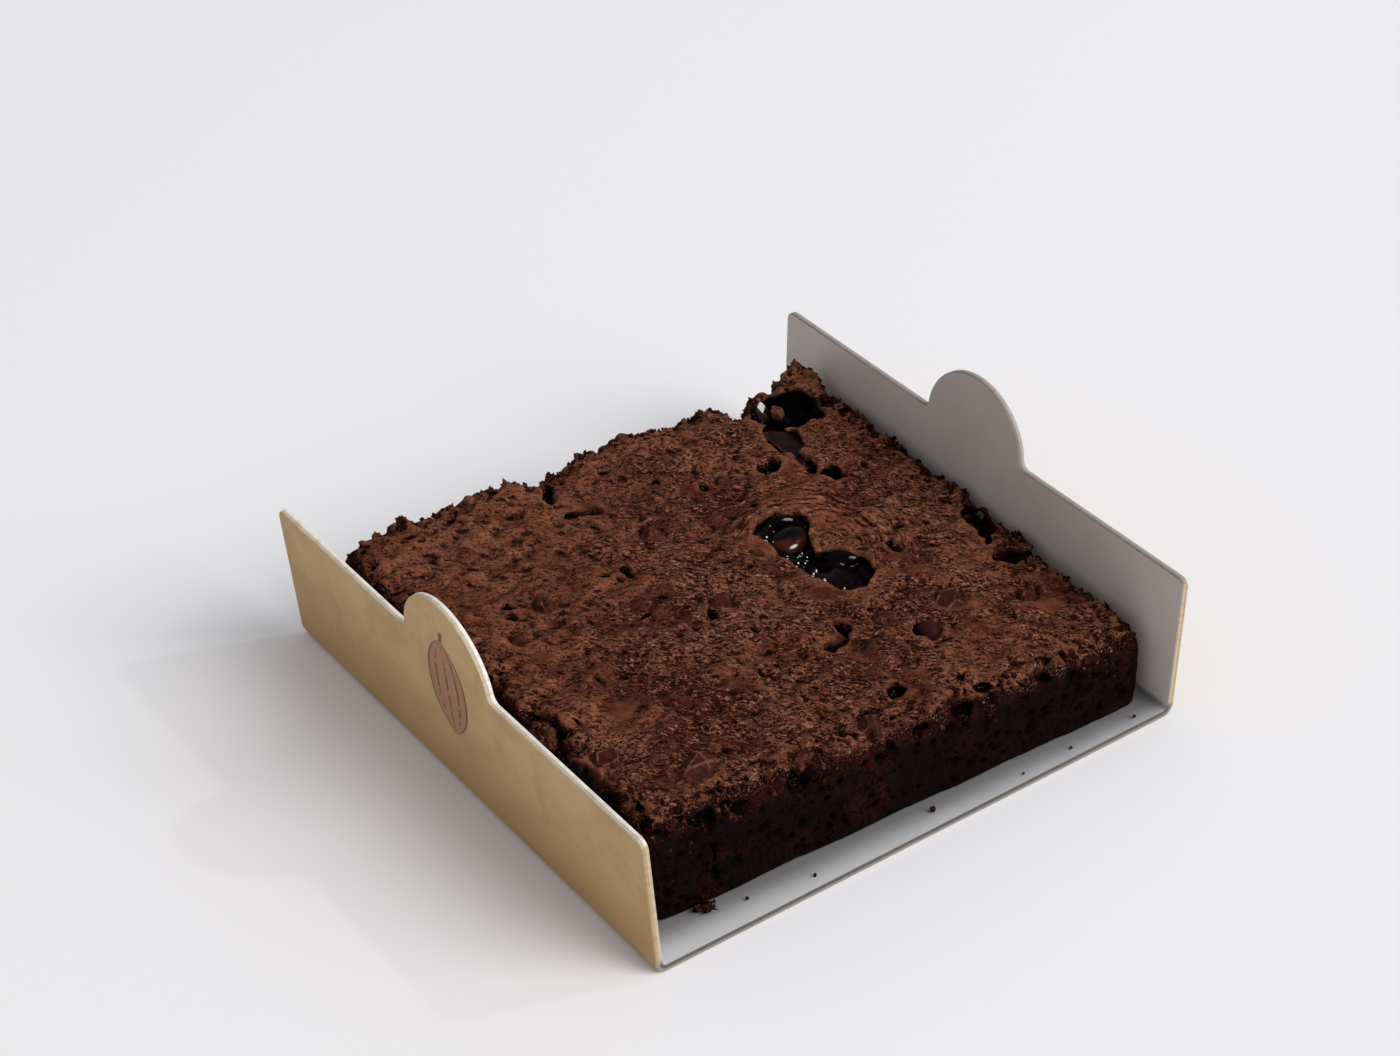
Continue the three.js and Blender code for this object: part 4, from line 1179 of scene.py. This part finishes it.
def lump_pieces():
    milk = chocolate_finish("chopped_chocolate_face", LUMP_BROWN, LUMP_RED, 0.36)
    dark = chocolate_finish("dark_chocolate_face", DARK_FACE, DARK_DEEP, 0.3)
    skin = chocolate_finish("dark_drop_skin", DROP_SKIN, DROP_DEEP, 0.3)
    pale = chocolate_finish("cave_shard_face", SHARD_PALE, SHARD_RED, 0.4, CAVE_MELT)
    shiny = chocolate_finish("cave_shard_gloss", SHARD_GLOSS, SHARD_DEEP, 0.3, CAVE_MELT, 0.8)
    for i, (x, y, size, turn, proud) in enumerate(CHUNKS):
        z = crust_height(x, y) + proud - 0.3 - 0.9 * size[2]
        mesh = broken_lump((x, y, z), size, turn, 40 + i)
        node = f"chocolate_chunk_{i + 1}"
        dress(mesh, f"chopped_chocolate_{i + 1}", [node], "chopped_chocolate", milk)
    for i, corners in enumerate(SHARD_CORNERS):
        mesh = settled(hull_lump(corners, 0.15))
        dress(mesh, f"corner_chocolate_{i + 1}", [f"corner_shard_{i + 1}"], "dark_chocolate",
              (dark, pale, shiny)[i])
    x, y = DROP_PLACE
    z = crust_height(x, y) + DROP_PROUD - DROP_SIZE[2]
    mesh = rounded_lump((x, y, z), DROP_SIZE, 0, 90, 0.04)
    dress(mesh, "dark_drop", ["chocolate_drop"], "dark_chocolate", skin)
    x, y, size, turn = POOL_LUMP
    z = pool_level(x, y) - 0.2
    mesh = rounded_lump((x, y, z), size, turn, 91, 0.16)
    dress(mesh, "melted_lump", ["molten_lump"], "melted_lump", melted_lump_finish())


# Card tray

def arc(x, z, radius, start, end, count):
    """Points on a circle, from one angle to another."""
    angles = np.linspace(start, end, count)
    return [(x + radius * cos(a), z + radius * sin(a)) for a in angles]


def wall_top(steps):
    """Places along a wall's top edge, as y and height, with the round thumb tab."""
    rise = asin(TAB_FILLET / (TAB_RADIUS + TAB_FILLET))
    foot = cos(rise) * (TAB_RADIUS + TAB_FILLET)
    end = TRAY_DEPTH / 2 - WALL_CORNER
    half = arc(-end, WALL_HEIGHT - WALL_CORNER, WALL_CORNER, pi, pi / 2, 7)
    half += [(y, WALL_HEIGHT) for y in np.linspace(-end, -foot, steps)[1:-1]]
    half += arc(-foot, WALL_HEIGHT + TAB_FILLET, TAB_FILLET, -pi / 2, -rise, 5)
    tab = arc(0, WALL_HEIGHT, TAB_RADIUS, pi - rise, rise, 41)[1:-1]
    return half + tab + [(-y, z) for y, z in reversed(half)]


def tray_section(height, level, rows=14, bend=7):
    """The folded strip's line at one place along it: left wall, base, right wall.
    level runs from 0 at the outside of the card to 1 at its inside."""
    radius = FOLD_RADIUS - CARD * level
    splay = radians(LEFT_SPLAY)
    fold_x = -TRAY_WIDTH / 2 + FOLD_RADIUS / tan((pi / 2 + splay) / 2)
    far_x = TRAY_WIDTH / 2 - FOLD_RADIUS
    start = (fold_x - cos(splay) * radius, FOLD_RADIUS - sin(splay) * radius)
    rise = height - FOLD_RADIUS
    line = [(start[0] - sin(splay) * rise * k, start[1] + cos(splay) * rise * k)
            for k in np.linspace(1, 0, rows)[:-1]]
    line += arc(fold_x, FOLD_RADIUS, radius, pi + splay, 1.5 * pi, bend)
    line += [(x, FOLD_RADIUS - radius) for x in np.linspace(fold_x, far_x, 30)[1:-1]]
    line += arc(far_x, FOLD_RADIUS, radius, 1.5 * pi, 2 * pi, bend)
    return line + [(far_x + radius, FOLD_RADIUS + rise * k) for k in np.linspace(0, 1, rows)[1:]]


def tray_piece():
    """The folded strip: brown outside, white inside, and a cut edge all round with soft rims."""
    soft = 0.14
    outline = wall_top(18)
    shells = [np.array([[(x, y * (1 - inset / (TRAY_DEPTH / 2)), z)
                         for x, z in tray_section(height - inset, level)]
                        for y, height in outline])
              for level, inset in ((0, soft), (0.14, 0), (0.86, 0), (1, soft))]
    at = np.arange(shells[0].size // 3).reshape(shells[0].shape[:2])
    ring = np.concatenate([at[:-1, 0], at[-1, :-1], at[:0:-1, -1], at[0, :0:-1]])
    outer, outer_rim, inner_rim, inner = (shell.reshape(-1, 3) for shell in shells)
    points = np.concatenate([outer, inner, outer_rim[ring], inner_rim[ring]])
    side, edge = len(outer), len(ring)
    quads = np.stack([at[:-1, :-1], at[:-1, 1:], at[1:, 1:], at[1:, :-1]], -1).reshape(-1, 4)
    rim = 2 * side + np.arange(edge)
    loops = [ring, rim, rim + edge, ring + side]
    faces = [quads[:, ::-1], quads + side]
    for below, above in zip(loops, loops[1:]):
        faces.append(np.stack([below, np.roll(below, -1), np.roll(above, -1), above], -1))
    mesh = mesh_of("card_tray_folded", points, np.concatenate(faces).tolist())
    finishes = np.repeat([0, 1, 2], [len(quads), len(quads), 3 * edge])
    mesh.polygons.foreach_set("material_index", finishes.tolist())
    give_values(mesh, "ply", np.repeat([0, 1, 0, 1], [side, side, edge, edge]))
    work = bmesh.new()
    work.from_mesh(mesh)
    bmesh.ops.recalc_face_normals(work, faces=work.faces[:])
    work.to_mesh(mesh)
    work.free()
    dress(mesh, "card_tray_folded", ["card_tray"], "kraft_card",
          kraft_finish(), white_card_finish(), card_edge_finish())
    mesh.set_sharp_from_angle(angle=radians(35))


# Studio

def studio():
    scene = bpy.context.scene
    scene.view_settings.view_transform = "Standard"
    lens = bpy.data.cameras.new("photo_view")
    lens.lens = FOCAL_PX / FRAME_WIDTH_PX * SENSOR_MM
    lens.sensor_width = SENSOR_MM
    lens.clip_start = 0.01
    camera = placed("photo_view", lens)
    camera.location = Vector(CAMERA_AT) * MM
    camera.rotation_euler = Euler([radians(a) for a in CAMERA_TURN])
    scene.camera = camera

    far = FLOOR_REACH
    corners = [(-far, -far, 0), (far, -far, 0), (far, far, 0), (-far, far, 0)]
    floor = placed("floor", mesh_of("floor", corners, [(0, 1, 2, 3)]))
    paint = Recipe("pale_floor")
    floor.data.materials.append(paint.finish(paint.surface(Base_Color=FLOOR_PALE, Roughness=0.9)))

    scene.world = bpy.data.worlds.new("studio_air")
    scene.world.use_nodes = True
    air = scene.world.node_tree.nodes["Background"].inputs
    air["Color"].default_value = AIR_COLOUR
    air["Strength"].default_value = AIR_STRENGTH

    for name, place, size, power, colour in LAMPS:
        light = bpy.data.lights.new(name, "AREA")
        light.shape = "DISK"
        light.size = size
        light.energy = power
        light.color = colour
        lamp = placed(name, light)
        lamp.location = place
        lamp.rotation_euler = (-Vector(place)).to_track_quat("-Z", "Y").to_euler()


studio()
tray_piece()
slab_piece()
pool_piece()
lump_pieces()
